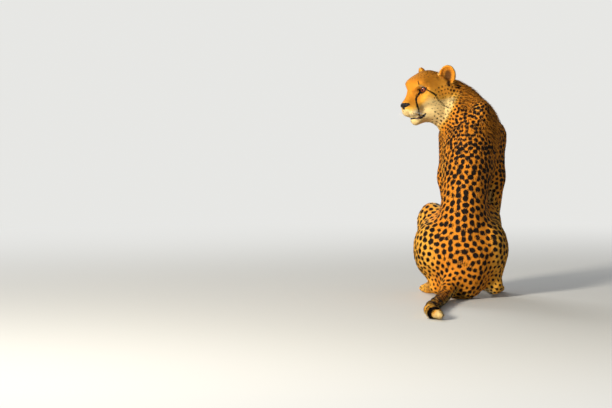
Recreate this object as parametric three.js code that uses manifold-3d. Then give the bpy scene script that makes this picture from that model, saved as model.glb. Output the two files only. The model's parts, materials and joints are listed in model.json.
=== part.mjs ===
// A life-size cheetah, sitting upright on its rump and looking back over its left shoulder.
// Millimetres, +Z up. The origin is on the floor, under the middle of the rump.
// +Y is the way the hips face and +X is the animal's right, so "left" is on the -X side.
//
// The animal is modelled whole, as one smooth field of blended bones and muscles.
// The field is turned into faceted solids, finer on the head and paws than on the trunk,
// and these are parted into head, jaw, neck, trunk, legs and tail by thin straight cuts.

import * as THREE from 'three';
import { mergeVertices } from 'three/addons/utils/BufferGeometryUtils.js';
import { edgeTable, triTable } from 'three/addons/objects/MarchingCubes.js';
import Module from 'manifold-3d';

const wasm = await Module();
wasm.setup();
const { Manifold, Mesh } = wasm;

// ---------------------------------------------------------------- driving dimensions

const CUT = 0.5; // width of the cut between two neighbouring parts
const SIDES = { left: -1, right: 1 };

const SKULL_AT = [-120, 245, 766]; // the middle of the braincase
const NOSE_Y = 136; // from there to the nose tip, along the head
const HEAD_YAW = 131; // the head's turn to the left, in degrees from straight ahead
const HEAD_PITCH = 12; // nose down
const HEAD_ROLL = 4; // right ear down
const MOUTH_Z = -85; // the lips' line, in the head's own frame
const EYE_RADIUS = 18.5;
const EYE_AT = [30, 39, 10]; // the right eyeball's centre, in the head's own frame
const EAR_AT = { left: [-64, -56, 35], right: [66, -51, 36] }; // the ears' middles, in the head's own frame
const EAR_RADII = [33, 20, 43];

const CHEST_AT = [44, 240]; // where the chest's own upright axis stands on the floor
const CHEST_YAW = -8; // the chest turns a little to the right of the hips

const TAIL_RADIUS = 23;

// The spine, from the seat up to the withers: [x, y, z, half width, half depth].
const SPINE = [
  [0, 24, 80, 90, 88],
  [0, 36, 170, 96, 92],
  [4, 70, 270, 88, 88],
  [14, 116, 360, 80, 92],
  [26, 170, 450, 90, 112],
  [38, 220, 535, 98, 128],
  [46, 258, 612, 90, 112],
];
// The neck, from the withers to the back of the skull.
const NECK = [
  [34, 280, 660, 76, 86],
  [0, 288, 702, 69, 75],
  [-44, 282, 732, 63, 66],
  [-84, 266, 750, 56, 60],
];
// The throat, from under the jaw down to the chest.
const THROAT = [
  [-88, 230, 684, 36],
  [-12, 262, 606, 42],
];
// The front of the neck, from the throat down to the breastbone.
const NECK_FRONT = [
  [-34, 268, 694, 44],
  [14, 300, 660, 56],
  [44, 330, 600, 60],
];
// The tail's middle line, from its root down to the floor and back along it.
const TAIL = [
  [-16, 20, 128, 38],
  [-38, -34, 76, 34],
  [-62, -86, 38, 29],
  [-78, -140, 24, 25],
  [-96, -240, 21, TAIL_RADIUS],
  [-116, -350, 21, TAIL_RADIUS],
  [-136, -460, 21, TAIL_RADIUS],
  [-148, -570, 21, TAIL_RADIUS + 1],
  [-140, -662, 20, TAIL_RADIUS],
  [-122, -710, 18, 15],
];

// ---------------------------------------------------------------- fields
// A field gives the distance from a point to a surface, negative inside it.

const degrees = THREE.MathUtils.degToRad;
const X_AXIS = new THREE.Vector3(1, 0, 0);

// An ellipsoid.
function ball([cx, cy, cz], [rx, ry, rz]) {
  return (x, y, z) => {
    const [u, v, w] = [(x - cx) / rx, (y - cy) / ry, (z - cz) / rz];
    const near = Math.hypot(u, v, w);
    if (near < 1e-6) return -Math.min(rx, ry, rz);
    return (near * (near - 1)) / Math.hypot(u / rx, v / ry, w / rz);
  };
}

// A tapering limb with round ends. Each end is [x, y, z, half width, half depth], where the
// width lies along side and the depth is the same as the width if it is left out.
function bone(from, to, side = X_AXIS) {
  const a = new THREE.Vector3(...from);
  const along = new THREE.Vector3(...to).sub(a);
  const lengthSquared = along.lengthSq();
  const [wideA, wideB] = [from[3], to[3]];
  const [deepA, deepB] = [from[4] ?? wideA, to[4] ?? wideB];
  return (x, y, z) => {
    const [px, py, pz] = [x - a.x, y - a.y, z - a.z];
    const t = Math.min(1, Math.max(0, (px * along.x + py * along.y + pz * along.z) / lengthSquared));
    const [qx, qy, qz] = [px - t * along.x, py - t * along.y, pz - t * along.z];
    const wide = wideA + t * (wideB - wideA);
    const deep = deepA + t * (deepB - deepA);
    const across = qx * side.x + qy * side.y + qz * side.z;
    const off = Math.sqrt(Math.max(0, qx * qx + qy * qy + qz * qz - across * across));
    const [u, v] = [across / wide, off / deep];
    const near = Math.hypot(u, v);
    if (near < 1e-6) return -Math.min(wide, deep);
    return (near * (near - 1)) / Math.hypot(u / wide, v / deep);
  };
}

// Fields run together over a smooth fillet of about the given width.
function blend(fields, fillet) {
  return (x, y, z) => {
    let d = fields[0](x, y, z);
    for (let i = 1; i < fields.length; i++) d = blended(d, fields[i](x, y, z), fillet);
    return d;
  };
}
function blended(a, b, fillet) {
  const h = Math.max(fillet - Math.abs(a - b), 0) / fillet;
  return Math.min(a, b) - (h * h * fillet) / 4;
}
// A field with another one scooped out of it, with a soft edge.
function scooped(field, hollow, fillet) {
  return (x, y, z) => -blended(-field(x, y, z), hollow(x, y, z), fillet);
}
// A chain of bones through a list of stations.
const chain = (stations, fillet, side) =>
  blend(stations.slice(1).map((to, i) => bone(stations[i], to, side)), fillet);
// A field whose shape is told in a frame of its own.
function placed(field, matrix) {
  const m = matrix.clone().invert().elements;
  return (x, y, z) =>
    field(
      m[0] * x + m[4] * y + m[8] * z + m[12],
      m[1] * x + m[5] * y + m[9] * z + m[13],
      m[2] * x + m[6] * y + m[10] * z + m[14],
    );
}
const bothSides = (make) => Object.values(SIDES).flatMap((s) => make(s));

// ---------------------------------------------------------------- the head, in its own frame
// Its origin is the middle of the braincase, +Y runs to the nose and +Z to the crown.

const HEAD = new THREE.Matrix4()
  .makeTranslation(...SKULL_AT)
  .multiply(new THREE.Matrix4().makeRotationZ(degrees(HEAD_YAW)))
  .multiply(new THREE.Matrix4().makeRotationX(degrees(-HEAD_PITCH)))
  .multiply(new THREE.Matrix4().makeRotationY(degrees(HEAD_ROLL)));

const skull = blend(
  [
    ball([0, -6, 10], [59, 70, 62]), // braincase
    ball([0, 32, 19], [45, 44, 38]), // forehead
    ...bothSides((s) => [
      ball([s * 26, 50, 32], [20, 20, 15]), // brow
      ball([s * 36, 20, -22], [30, 43, 34]), // cheekbone
      ball([s * 31, -8, -48], [30, 42, 40]), // jaw muscle
      ball([s * 56, -48, -4], [19, 20, 21]), // root of the ear
    ]),
  ],
  26,
);
const muzzle = blend(
  [
    bone([0, 52, 22, 24, 22], [0, NOSE_Y - 24, -26, 16, 14]), // bridge of the nose
    bone([0, 56, -36, 38, 38], [0, 96, -52, 29, 28]),
    ...bothSides((s) => [ball([s * 18, 97, -58], [19, 26, 23])]), // whisker pads
    ball([0, NOSE_Y - 13, -36], [20, 13, 15]),
  ],
  16,
);
const lowerJaw = blend(
  [
    bone([0, 26, -88, 31, 29], [0, 87, -100, 20, 20]),
    ...bothSides((s) => [bone([s * 29, 2, -72, 24], [s * 12, 78, -92, 15])]),
  ],
  14,
);
const orbit = (s) => ball([s * 42, 66, 8], [19, 17, 15]);
const mouthGap = blend(
  bothSides((s) => [bone([s * 6, 112, MOUTH_Z - 1, 12, 2.8], [s * 31, 56, MOUTH_Z - 1, 9, 2.8], X_AXIS)]),
  2,
);
const headShape = scooped(
  scooped(blend([blend([skull, muzzle], 24), lowerJaw], 18), blend([orbit(-1), orbit(1)], 1), 14),
  mouthGap,
  4,
);

// ---------------------------------------------------------------- the body

const chestFrame = new THREE.Matrix4()
  .makeTranslation(CHEST_AT[0], CHEST_AT[1], 0)
  .multiply(new THREE.Matrix4().makeRotationZ(degrees(CHEST_YAW)));
const chestSide = X_AXIS.clone().transformDirection(chestFrame);

const torso = blend(
  [
    chain(SPINE.slice(0, 4), 30),
    chain(SPINE.slice(3), 30, chestSide),
    chain([SPINE.at(-1), ...NECK], 40),
    chain(THROAT),
    chain(NECK_FRONT, 30),
    placed(ball([0, 84, 556], [66, 62, 100]), chestFrame), // breastbone
  ],
  30,
);
const tail = chain(TAIL, 10);

// A paw's four toes, with the claws' places, in a frame whose +Y runs to the toe tips.
const TOES = [
  [-27, 30, 14],
  [-10, 41, 15],
  [10, 41, 15],
  [27, 30, 14],
];
const paw = blend(
  [
    ball([0, -4, 17], [31, 36, 27]),
    ...TOES.map(([x, y, r]) => bone([x * 0.7, y - 24, 20, r + 1, r + 1], [x, y - 2, 13, r, r])),
  ],
  9,
);
const pawFrame = ([x, y], turn) =>
  new THREE.Matrix4()
    .makeTranslation(x, y, 0)
    .multiply(new THREE.Matrix4().makeRotationZ(degrees(turn)));

// Forelegs stand straight under the shoulders. They are told in the chest's frame.
const FORE = {
  blade: [46, -48, 684, 30, 40],
  shoulder: [86, 100, 585, 40, 58],
  elbow: [92, 44, 434, 35, 46],
  wrist: [64, 90, 150, 24, 25],
  knuckle: [57, 104, 58, 22, 23],
  paw: [56, 130],
};
const foreleg = (s) => {
  const at = ([x, ...rest]) => [s * x, ...rest];
  return blend(
    [
      bone(at(FORE.blade), at(FORE.shoulder)),
      bone(at(FORE.shoulder), at(FORE.elbow)),
      bone(at(FORE.elbow), at(FORE.wrist)),
      bone(at(FORE.wrist), at(FORE.knuckle)),
      placed(paw, pawFrame(at(FORE.paw), -s * 4)),
    ],
    22,
  );
};

// Hind legs are folded: knee up beside the belly, heel and foot flat on the floor.
const HIND = {
  hip: [52, 40, 150, 62, 90],
  knee: [100, 205, 288, 52, 58],
  haunch: [106, 98, 178],
  haunchRadii: [72, 122, 110],
  calf: [108, 196, 262, 48, 54],
  heel: [112, 58, 44, 26, 27],
  ball: [122, 206, 32, 25, 24],
  paw: [126, 252],
};
const FOOT_SHIFT = { left: -22, right: 10 }; // outwards: the left foot is tucked in
const hindleg = (s) => {
  const at = ([x, ...rest]) => [s * x, ...rest];
  const shift = s < 0 ? FOOT_SHIFT.left : FOOT_SHIFT.right;
  const onFoot = ([x, ...rest]) => at([x + shift, ...rest]);
  return blend(
    [
      bone(at(HIND.hip), at(HIND.knee)),
      ball(at(HIND.haunch), HIND.haunchRadii),
      bone(at(HIND.calf), onFoot(HIND.heel)),
      bone(onFoot(HIND.heel), onFoot(HIND.ball)),
      placed(paw, pawFrame(onFoot(HIND.paw), -s * 6)),
    ],
    26,
  );
};

const trunkFields = [blend([torso, placed(headShape, HEAD)], 34)];
const limbFields = [
  ...bothSides((s) => [
    { field: placed(foreleg(s), chestFrame), fillet: 34 },
    { field: hindleg(s), fillet: 34 },
  ]),
  { field: tail, fillet: 26 },
];
// Each limb runs smoothly into the trunk, and limbs only touch one another.
function cheetah(x, y, z) {
  const trunk = trunkFields[0](x, y, z);
  let d = trunk;
  for (const { field, fillet } of limbFields) d = Math.min(d, blended(trunk, field(x, y, z), fillet));
  return d;
}

// ---------------------------------------------------------------- from field to solid

const solidOf = (geometry) => {
  const bare = new THREE.BufferGeometry().setAttribute('position', geometry.getAttribute('position'));
  if (geometry.index) bare.setIndex(geometry.index);
  const merged = mergeVertices(bare, 1e-3);
  const [vertProperties, triVerts] = [merged.attributes.position.array, new Uint32Array(merged.index.array)];
  return new Manifold(new Mesh({ numProp: 3, vertProperties, triVerts }));
};

const CORNERS = [[0, 0, 0], [1, 0, 0], [1, 1, 0], [0, 1, 0], [0, 0, 1], [1, 0, 1], [1, 1, 1], [0, 1, 1]];
const EDGES = [[0, 1], [1, 2], [2, 3], [3, 0], [4, 5], [5, 6], [6, 7], [7, 4], [0, 4], [1, 5], [2, 6], [3, 7]];
const LEAST_SHARE = 0.08; // a vertex keeps this share of a cell's edge from the grid's points

// Marching cubes over a box, closed at the box's walls, then thinned to a number of triangles.
function polygonize(field, { low, high, cell, wanted }) {
  const count = low.map((v, i) => Math.ceil((high[i] - v) / cell) + 1);
  const index = (i, j, k) => i + count[0] * (j + count[1] * k);
  const at = (i, j, k) => [low[0] + i * cell, low[1] + j * cell, low[2] + k * cell];
  const values = new Float64Array(count[0] * count[1] * count[2]);
  for (let k = 0; k < count[2]; k++)
    for (let j = 0; j < count[1]; j++)
      for (let i = 0; i < count[0]; i++) {
        const wall = [i, j, k].some((n, axis) => n === 0 || n === count[axis] - 1);
        values[index(i, j, k)] = wall ? cell / 2 : field(...at(i, j, k)) || 1e-9;
      }
  const positions = [];
  const triangles = [];
  const made = new Map();
  const vertexOn = (a, b) => {
    const [ia, ib] = [index(...a), index(...b)];
    const key = ia < ib ? ia * values.length + ib : ib * values.length + ia;
    if (!made.has(key)) {
      const share = values[ia] / (values[ia] - values[ib]);
      const t = Math.min(1 - LEAST_SHARE, Math.max(LEAST_SHARE, share));
      const [pa, pb] = [at(...a), at(...b)];
      made.set(key, positions.length / 3);
      positions.push(...pa.map((v, n) => v + t * (pb[n] - v)));
    }
    return made.get(key);
  };
  for (let k = 0; k < count[2] - 1; k++)
    for (let j = 0; j < count[1] - 1; j++)
      for (let i = 0; i < count[0] - 1; i++) {
        const corners = CORNERS.map(([x, y, z]) => [i + x, j + y, k + z]);
        let kind = 0;
        corners.forEach((c, n) => { if (values[index(...c)] > 0) kind |= 1 << n; });
        if (!edgeTable[kind]) continue;
        for (let n = kind * 16; triTable[n] !== -1; n++) {
          const [a, b] = EDGES[triTable[n]];
          triangles.push(vertexOn(corners[a], corners[b]));
        }
      }
  const kept = thinned(positions, triangles, wanted);
  const geometry = new THREE.BufferGeometry();
  geometry.setAttribute('position', new THREE.Float32BufferAttribute(positions, 3));
  return solidOf(geometry.setIndex(kept).toNonIndexed());
}

// Thins a mesh: the edges whose collapse moves the surface least go first, until about
// the wanted number of triangles is left. It stays one closed surface throughout.
function thinned(positions, triangles, wanted) {
  const point = (v) => positions.slice(3 * v, 3 * v + 3);
  const minus = (a, b) => [a[0] - b[0], a[1] - b[1], a[2] - b[2]];
  const cross = (a, b) => [a[1] * b[2] - a[2] * b[1], a[2] * b[0] - a[0] * b[2], a[0] * b[1] - a[1] * b[0]];
  const dot = (a, b) => a[0] * b[0] + a[1] * b[1] + a[2] * b[2];
  const faces = [];
  for (let i = 0; i < triangles.length; i += 3) faces.push(triangles.slice(i, i + 3));
  const around = Array.from({ length: positions.length / 3 }, () => new Set());
  faces.forEach((f, n) => f.forEach((v) => around[v].add(n)));
  const normalOf = (f, moved = -1, to = null) => {
    const [a, b, c] = f.map((v) => (v === moved ? to : point(v)));
    return cross(minus(b, a), minus(c, a));
  };
  // Each vertex sums the squared distances to the planes of its faces, as a quadric.
  const quadrics = around.map((set) => {
    const q = new Array(10).fill(0);
    for (const n of set) {
      const normal = normalOf(faces[n]);
      const size = Math.hypot(...normal) || 1e-12;
      const [a, b, c] = normal.map((x) => x / size);
      const d = -dot([a, b, c], point(faces[n][0]));
      [a * a, a * b, a * c, a * d, b * b, b * c, b * d, c * c, c * d, d * d].forEach((x, i) => (q[i] += x * size));
    }
    return q;
  });
  const error = (q, [x, y, z]) =>
    q[0] * x * x + 2 * q[1] * x * y + 2 * q[2] * x * z + 2 * q[3] * x +
    q[4] * y * y + 2 * q[5] * y * z + 2 * q[6] * y + q[7] * z * z + 2 * q[8] * z + q[9];
  const neighbours = (v) => new Set([...around[v]].flatMap((n) => faces[n]).filter((w) => w !== v));
  const LEAST_COSINE = 0.3;
  const keepsItsSide = (u, v, to) =>
    [...around[u]].every((n) => {
      if (faces[n].includes(v)) return true;
      const [before, after] = [normalOf(faces[n]), normalOf(faces[n], u, to)];
      return dot(before, after) > LEAST_COSINE * Math.hypot(...before) * Math.hypot(...after);
    });
  let left = faces.length;
  while (left > wanted) {
    const edges = [];
    for (let u = 0; u < around.length; u++)
      for (const v of neighbours(u)) {
        if (v < u) continue;
        const q = quadrics[u].map((x, i) => x + quadrics[v][i]);
        const [a, b] = [point(u), point(v)];
        const middle = a.map((x, i) => (x + b[i]) / 2);
        const best = [middle, a, b].reduce((p, r) => (error(q, r) < error(q, p) ? r : p));
        const span = minus(a, b);
        edges.push({ u, v, best, cost: error(q, best) + 1e-3 * dot(span, span) });
      }
    edges.sort((a, b) => a.cost - b.cost);
    const touched = new Set();
    const before = left;
    const share = Math.ceil(edges.length / 12); // only the cheapest few in one pass
    for (const { u, v, best } of edges.slice(0, share)) {
      if (left <= wanted) break;
      if (touched.has(u) || touched.has(v)) continue;
      const [nearU, nearV] = [neighbours(u), neighbours(v)];
      if ([...nearU].filter((w) => nearV.has(w)).length !== 2) continue;
      if (!keepsItsSide(u, v, best) || !keepsItsSide(v, u, best)) continue;
      best.forEach((x, i) => (positions[3 * v + i] = x));
      quadrics[v] = quadrics[v].map((x, i) => x + quadrics[u][i]);
      for (const n of [...around[u]]) {
        if (faces[n].includes(v)) {
          faces[n].forEach((w) => around[w].delete(n));
          faces[n] = null;
          left--;
        } else {
          faces[n] = faces[n].map((w) => (w === u ? v : w));
          around[v].add(n);
        }
      }
      around[u].clear();
      [...nearU, ...nearV].forEach((w) => touched.add(w));
    }
    if (left === before) break;
  }
  return faces.filter(Boolean).flat();
}

// ---------------------------------------------------------------- parting

// Everything behind the plane through a point, moved out along its normal by a shift.
const REACH = 3000;
function behind({ at, normal }, shift = 0) {
  const out = new THREE.Vector3(...normal).normalize();
  const box = new THREE.BoxGeometry(REACH, REACH, REACH);
  box.translate(0, 0, -REACH / 2 + shift);
  box.applyQuaternion(new THREE.Quaternion().setFromUnitVectors(new THREE.Vector3(0, 0, 1), out));
  return solidOf(box.translate(...at));
}
// The block that several such planes bound between them.
const block = (planes, shift) => planes.map((p) => behind(p, shift)).reduce((a, b) => a.intersect(b));
const inside = (solid, planes) => solid.intersect(block(planes, -CUT / 2));
const outside = (solid, planes) => solid.subtract(block(planes, CUT / 2));
const turned = (planes, matrix) =>
  planes.map(({ at, normal }) => ({
    at: new THREE.Vector3(...at).applyMatrix4(matrix).toArray(),
    normal: new THREE.Vector3(...normal).transformDirection(matrix).toArray(),
  }));

function geometryOf(solid) {
  const mesh = solid.getMesh();
  const geometry = new THREE.BufferGeometry();
  geometry.setAttribute('position', new THREE.BufferAttribute(mesh.vertProperties, 3));
  geometry.setIndex(new THREE.BufferAttribute(mesh.triVerts, 1));
  return geometry;
}

// ---------------------------------------------------------------- the cuts
// A cut is a list of planes. The part it frees lies behind all of them.

const HEAD_CUT = [{ at: [0, -78, 60], normal: [0, -1, -0.5] }]; // in the head's frame
const JAW_CUT = [
  { at: [0, 0, MOUTH_Z], normal: [0, 0, 1] },
  { at: [0, 18, 0], normal: [0, -1, 0] },
];
const NOSE_CUT = [{ at: [0, NOSE_Y - 17, -36], normal: [0, -1, 0] }];
const earCut = (s) => [{ at: [s * 50, -50, 20], normal: [-s * 0.5, 0, -0.86] }];
const NECK_CUT = [{ at: [20, 276, 655], normal: [0.29, -0.27, -0.92] }];
const hindlegCut = (s) => [
  { at: [s * 66, 0, 0], normal: [-s, 0, 0] },
  { at: [0, 205, 352], normal: [0, -0.34, 0.94] },
  { at: [0, 260, 340], normal: [0, 0.978, 0.21] },
  { at: [0, -34, 0], normal: [0, -1, 0] },
];
// In the chest's frame
const forelegCut = (s) => [
  { at: [s * 50, 0, 400], normal: [-s, 0, 0.075] },
  { at: [0, 4, 380], normal: [0, -1, -0.16] },
  { at: [s * 90, 60, 610], normal: [0, -0.5, 0.86] },
];
// The tail's root and the ends of its lengths, along -Y
const TAIL_CUTS = [-62, -280, -500, -Infinity];

// ---------------------------------------------------------------- the parts

const mirrored = (s, inner, outer) => (s < 0 ? [-outer, -inner] : [inner, outer]);
function region([x0, x1], [y0, y1], [z0, z1], cell, wanted) {
  return { low: [x0, y0, z0], high: [x1, y1, z1], cell, wanted };
}
const lengthCut = (front, back) => [
  { at: [0, Math.min(front, REACH / 3), 0], normal: [0, 1, 0] },
  { at: [0, Math.max(back, -REACH / 3), 0], normal: [0, -1, 0] },
];
const onFloor = (solid) => inside(solid, [{ at: [0, 0, -CUT / 2], normal: [0, 0, -1] }]);

const materials = {
  coat: new THREE.MeshStandardMaterial({ color: 0xdc9a4e, roughness: 0.85, metalness: 0 }),
  leather: new THREE.MeshStandardMaterial({ color: 0x1c1412, roughness: 0.5, metalness: 0 }),
  eye: new THREE.MeshStandardMaterial({ color: 0xa8541c, roughness: 0.1, metalness: 0 }),
};
const animal = new THREE.Group();
const headGroup = new THREE.Group();
const chestGroup = new THREE.Group();
headGroup.applyMatrix4(HEAD);
chestGroup.applyMatrix4(chestFrame);
animal.add(headGroup, chestGroup);
function add(name, solid, material = materials.coat, group = animal) {
  const [largest] = solid.decompose().sort((a, b) => b.volume() - a.volume());
  const mesh = new THREE.Mesh(geometryOf(largest), material);
  mesh.name = name;
  group.add(mesh);
}

// A cupped ear, facing forwards and out. Extra thickens it on every side.
function ear(side, extra = 0, frame = new THREE.Matrix4()) {
  const s = SIDES[side];
  const shell = new THREE.SphereGeometry(1, 14, 9);
  const bowl = shell.clone();
  shell.scale(...EAR_RADII.map((r) => r + extra));
  bowl.scale(...EAR_RADII.map((r) => r - 6 - extra)).translate(0, 11, 2);
  const place = (g) =>
    solidOf(g.rotateY(s * degrees(16)).rotateZ(-s * degrees(36)).translate(...EAR_AT[side]).applyMatrix4(frame));
  const cut = earCut(s).map(({ at, normal }) => ({ normal, at: at.map((x, i) => x + normal[i] * extra) }));
  return inside(place(shell).subtract(place(bowl)), turned(cut, frame));
}
const eyeball = (s, radius) =>
  solidOf(new THREE.SphereGeometry(radius, 14, 9).translate(s * EYE_AT[0], EYE_AT[1], EYE_AT[2]));
const noseTip = (extra) =>
  solidOf(new THREE.SphereGeometry(1, 12, 8).scale(22 + extra, 14 + extra, 13.5 + extra)
    .translate(0, NOSE_Y - 12.5, -35));

// The head and what is on it
const inHeadFrame = placed(cheetah, HEAD.clone().invert());
let head = polygonize(inHeadFrame, region([-96, 96], [-112, 150], [-156, 92], 6, 1880));
head = inside(inside(head, HEAD_CUT), turned(NECK_CUT, HEAD.clone().invert()));
for (const [side, s] of Object.entries(SIDES)) {
  add('ear_' + side, ear(side), materials.coat, headGroup);
  head = head.subtract(ear(side, CUT));
  add('eye_' + side, eyeball(s, EYE_RADIUS), materials.eye, headGroup);
  head = head.subtract(eyeball(s, EYE_RADIUS + CUT));
}
add('nose', inside(noseTip(0), NOSE_CUT), materials.leather, headGroup);
head = head.subtract(noseTip(CUT));
add('jaw', inside(head, JAW_CUT), materials.coat, headGroup);
add('head', outside(head, JAW_CUT), materials.coat, headGroup);

// The neck and trunk
const body = onFloor(polygonize(cheetah, region([-190, 220], [-130, 470], [-26, 850], 13, 2900)));
const neck = outside(inside(body, NECK_CUT), turned(HEAD_CUT, HEAD));
add('neck', neck.subtract(ear('left', CUT, HEAD)).subtract(ear('right', CUT, HEAD)));
let trunk = outside(outside(body, NECK_CUT), lengthCut(TAIL_CUTS[0], -Infinity));

// The legs
const inChestFrame = placed(cheetah, chestFrame.clone().invert());
for (const [side, s] of Object.entries(SIDES)) {
  const hind = polygonize(cheetah, region(mirrored(s, 40, 230), [-130, 330], [-20, 410], 8, 940));
  const fore = polygonize(inChestFrame, region(mirrored(s, 10, 176), [-110, 216], [-20, 740], 8, 1100));
  const notMine = [hindlegCut(s), NECK_CUT].map((cut) => turned(cut, chestFrame.clone().invert()));
  add('hindleg_' + side, onFloor(inside(hind, hindlegCut(s))));
  add('foreleg_' + side, onFloor(notMine.reduce(outside, inside(fore, forelegCut(s)))), materials.coat, chestGroup);
  trunk = outside(outside(trunk, hindlegCut(s)), turned(forelegCut(s), chestFrame));
}
add('trunk', trunk);

// The tail, in three lengths
const tailWhole = onFloor(polygonize(cheetah, region([-190, 60], [-750, -20], [-20, 130], 9, 560)));
['tail_base', 'tail_middle', 'tail_tip'].forEach((name, i) =>
  add(name, inside(tailWhole, lengthCut(TAIL_CUTS[i], TAIL_CUTS[i + 1]))));

export default animal;
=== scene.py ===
# %% [markdown]
# # A cheetah sitting on its haunches
#
# This notebook dresses a solid, faceted cheetah with a living skin and coat.
# The solids give every place and size. They reach out to the tips of the fur, so
# the skin is made a coat's depth smaller and the fur then fills that depth again.
# Lengths are in metres, or in millimetres where a cell says so. Z is up, +Y is the
# way the hips face and +X is the animal's right.

# %% Load the solids
import json
import math
from contextlib import contextmanager

import bpy
import numpy as np
from mathutils import Matrix, Vector, kdtree

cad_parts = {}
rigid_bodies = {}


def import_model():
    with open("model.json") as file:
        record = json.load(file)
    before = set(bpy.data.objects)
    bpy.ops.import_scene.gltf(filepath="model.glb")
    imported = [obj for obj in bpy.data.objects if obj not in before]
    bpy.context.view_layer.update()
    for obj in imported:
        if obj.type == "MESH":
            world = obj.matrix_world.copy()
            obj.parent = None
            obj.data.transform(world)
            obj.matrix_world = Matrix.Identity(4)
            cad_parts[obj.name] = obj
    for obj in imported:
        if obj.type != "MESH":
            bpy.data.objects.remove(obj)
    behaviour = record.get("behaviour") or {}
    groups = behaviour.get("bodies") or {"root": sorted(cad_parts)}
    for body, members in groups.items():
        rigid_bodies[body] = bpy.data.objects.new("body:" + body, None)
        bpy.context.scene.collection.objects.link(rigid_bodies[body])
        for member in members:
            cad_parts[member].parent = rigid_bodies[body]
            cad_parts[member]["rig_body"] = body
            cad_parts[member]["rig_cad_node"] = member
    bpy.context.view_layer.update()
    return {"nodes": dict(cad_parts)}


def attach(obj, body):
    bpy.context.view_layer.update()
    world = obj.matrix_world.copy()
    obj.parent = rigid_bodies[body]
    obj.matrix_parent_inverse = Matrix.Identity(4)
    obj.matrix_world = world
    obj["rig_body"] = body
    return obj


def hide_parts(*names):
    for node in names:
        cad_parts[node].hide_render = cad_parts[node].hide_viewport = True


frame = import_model()
MM = 0.001
dice = np.random.default_rng(7)

# %% [markdown]
# ## Camera and light
#
# The animal is seen from behind and a little above, from far away, as with a long
# lens. A low key lamp stands on the camera's left, as a late sun would, so the right
# flank falls into shade. The floor is wide, and further out it takes on the colour
# of the world, so that no horizon shows from any side.

# %% Camera
VIEW_WIDTH = 2.2644  # how much of the world the view spans at the animal
VIEW_DISTANCE = 9.0
VIEW_AT = Vector((-0.5735, 0.1, 0.3441))
VIEW_HEIGHT = math.radians(3.5)

back = Vector((0, -math.cos(VIEW_HEIGHT), math.sin(VIEW_HEIGHT)))
bpy.ops.object.camera_add(location=VIEW_AT + back * VIEW_DISTANCE)
camera = bpy.context.object
camera.name = "camera"
camera.rotation_euler = (-back).to_track_quat("-Z", "Y").to_euler()
camera.data.sensor_width = 36
camera.data.lens = 36 * VIEW_DISTANCE / VIEW_WIDTH
bpy.context.scene.camera = camera
bpy.context.scene.view_settings.view_transform = "Standard"
print("lens:", round(camera.data.lens, 1), "mm at", [round(v, 2) for v in camera.location])

# %% A helper for shader maths
class Socket:
    """A shader value that can be used in a Python expression."""

    def __init__(self, tree, output):
        self.tree, self.output = tree, output

    def _math(self, operation, *values):
        return add_node(self.tree, "ShaderNodeMath", {"operation": operation}, dict(enumerate(values)))

    def __add__(self, other):
        return self._math("ADD", self, other)

    def __sub__(self, other):
        return self._math("SUBTRACT", self, other)

    def __rsub__(self, other):
        return self._math("SUBTRACT", other, self)

    def __mul__(self, other):
        return self._math("MULTIPLY", self, other)

    __radd__, __rmul__ = __add__, __mul__

    def step(self, low, high):
        """0 below low and 1 above high, with a soft change between them."""
        values = {"Value": self, "From Min": low, "From Max": high, "To Min": 0.0, "To Max": 1.0}
        if low > high:
            values.update({"From Min": high, "From Max": low, "To Min": 1.0, "To Max": 0.0})
        return add_node(self.tree, "ShaderNodeMapRange", {"interpolation_type": "SMOOTHSTEP"}, values)


def add_node(tree, kind, settings=None, values=None, output=0):
    """Adds a node, sets it up, fills or links its sockets and gives one output."""
    node = tree.nodes.new(kind)
    for name, value in (settings or {}).items():
        if name == "stops":
            ramp = node.color_ramp
            while len(ramp.elements) < len(value):
                ramp.elements.new(0.5)
            for element, (place, colour) in zip(ramp.elements, value):
                element.position, element.color = place, (*colour, 1)
        else:
            setattr(node, name, value)
    for name, value in (values or {}).items():
        if isinstance(value, Socket):
            tree.links.new(value.output, node.inputs[name])
        else:
            node.inputs[name].default_value = value
    return Socket(tree, node.outputs[output])


def linear(red, green, blue):
    """A colour of 0 to 255 as the light values that shaders use."""
    values = (red / 255, green / 255, blue / 255)
    return tuple(v / 12.92 if v <= 0.04045 else ((v + 0.055) / 1.055) ** 2.4 for v in values)


def mixed(tree, factor, a, b):
    """Colour a where the factor is 0 and colour b where it is 1."""
    node = tree.nodes.new("ShaderNodeMix")
    node.data_type = "RGBA"
    for name, value in (("Factor_Float", factor), ("A_Color", a), ("B_Color", b)):
        socket = next(s for s in node.inputs if s.identifier == name)
        if isinstance(value, Socket):
            tree.links.new(value.output, socket)
        else:
            socket.default_value = (*value, 1) if isinstance(value, tuple) else value
    return Socket(tree, next(s for s in node.outputs if s.identifier == "Result_Color"))


SOCKETS = {"colour": "Base Color", "specular": "Specular IOR Level"}
SOCKETS.update({"clear_coat": "Coat Weight", "coat_roughness": "Coat Roughness"})


def layered(tree, colour, *layers):
    """Lays colours over a first one, each where its own factor is 1."""
    for factor, layer in layers:
        colour = mixed(tree, factor, colour, layer)
    return colour


def new_material(name, roughness, **constants):
    """An empty material with a Principled shader: gives it, its tree and the shader."""
    material = bpy.data.materials.new(name)
    material.use_nodes = True
    shader = material.node_tree.nodes["Principled BSDF"]
    shader.inputs["Roughness"].default_value = roughness
    for socket, value in constants.items():
        shader.inputs[SOCKETS[socket]].default_value = value
    return material, material.node_tree, shader


def dress(piece, material):
    """Gives a piece one material in place of what it had."""
    piece.data.materials.clear()
    piece.data.materials.append(material)


def feed(tree, shader, name, value):
    """Lets a worked-out value drive one of the shader's sockets."""
    tree.links.new(value.output, shader.inputs[name])


def attribute(tree, name):
    """One of the numbers that are kept on the points of a mesh."""
    return add_node(tree, "ShaderNodeAttribute", {"attribute_name": name}, output="Fac")


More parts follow.
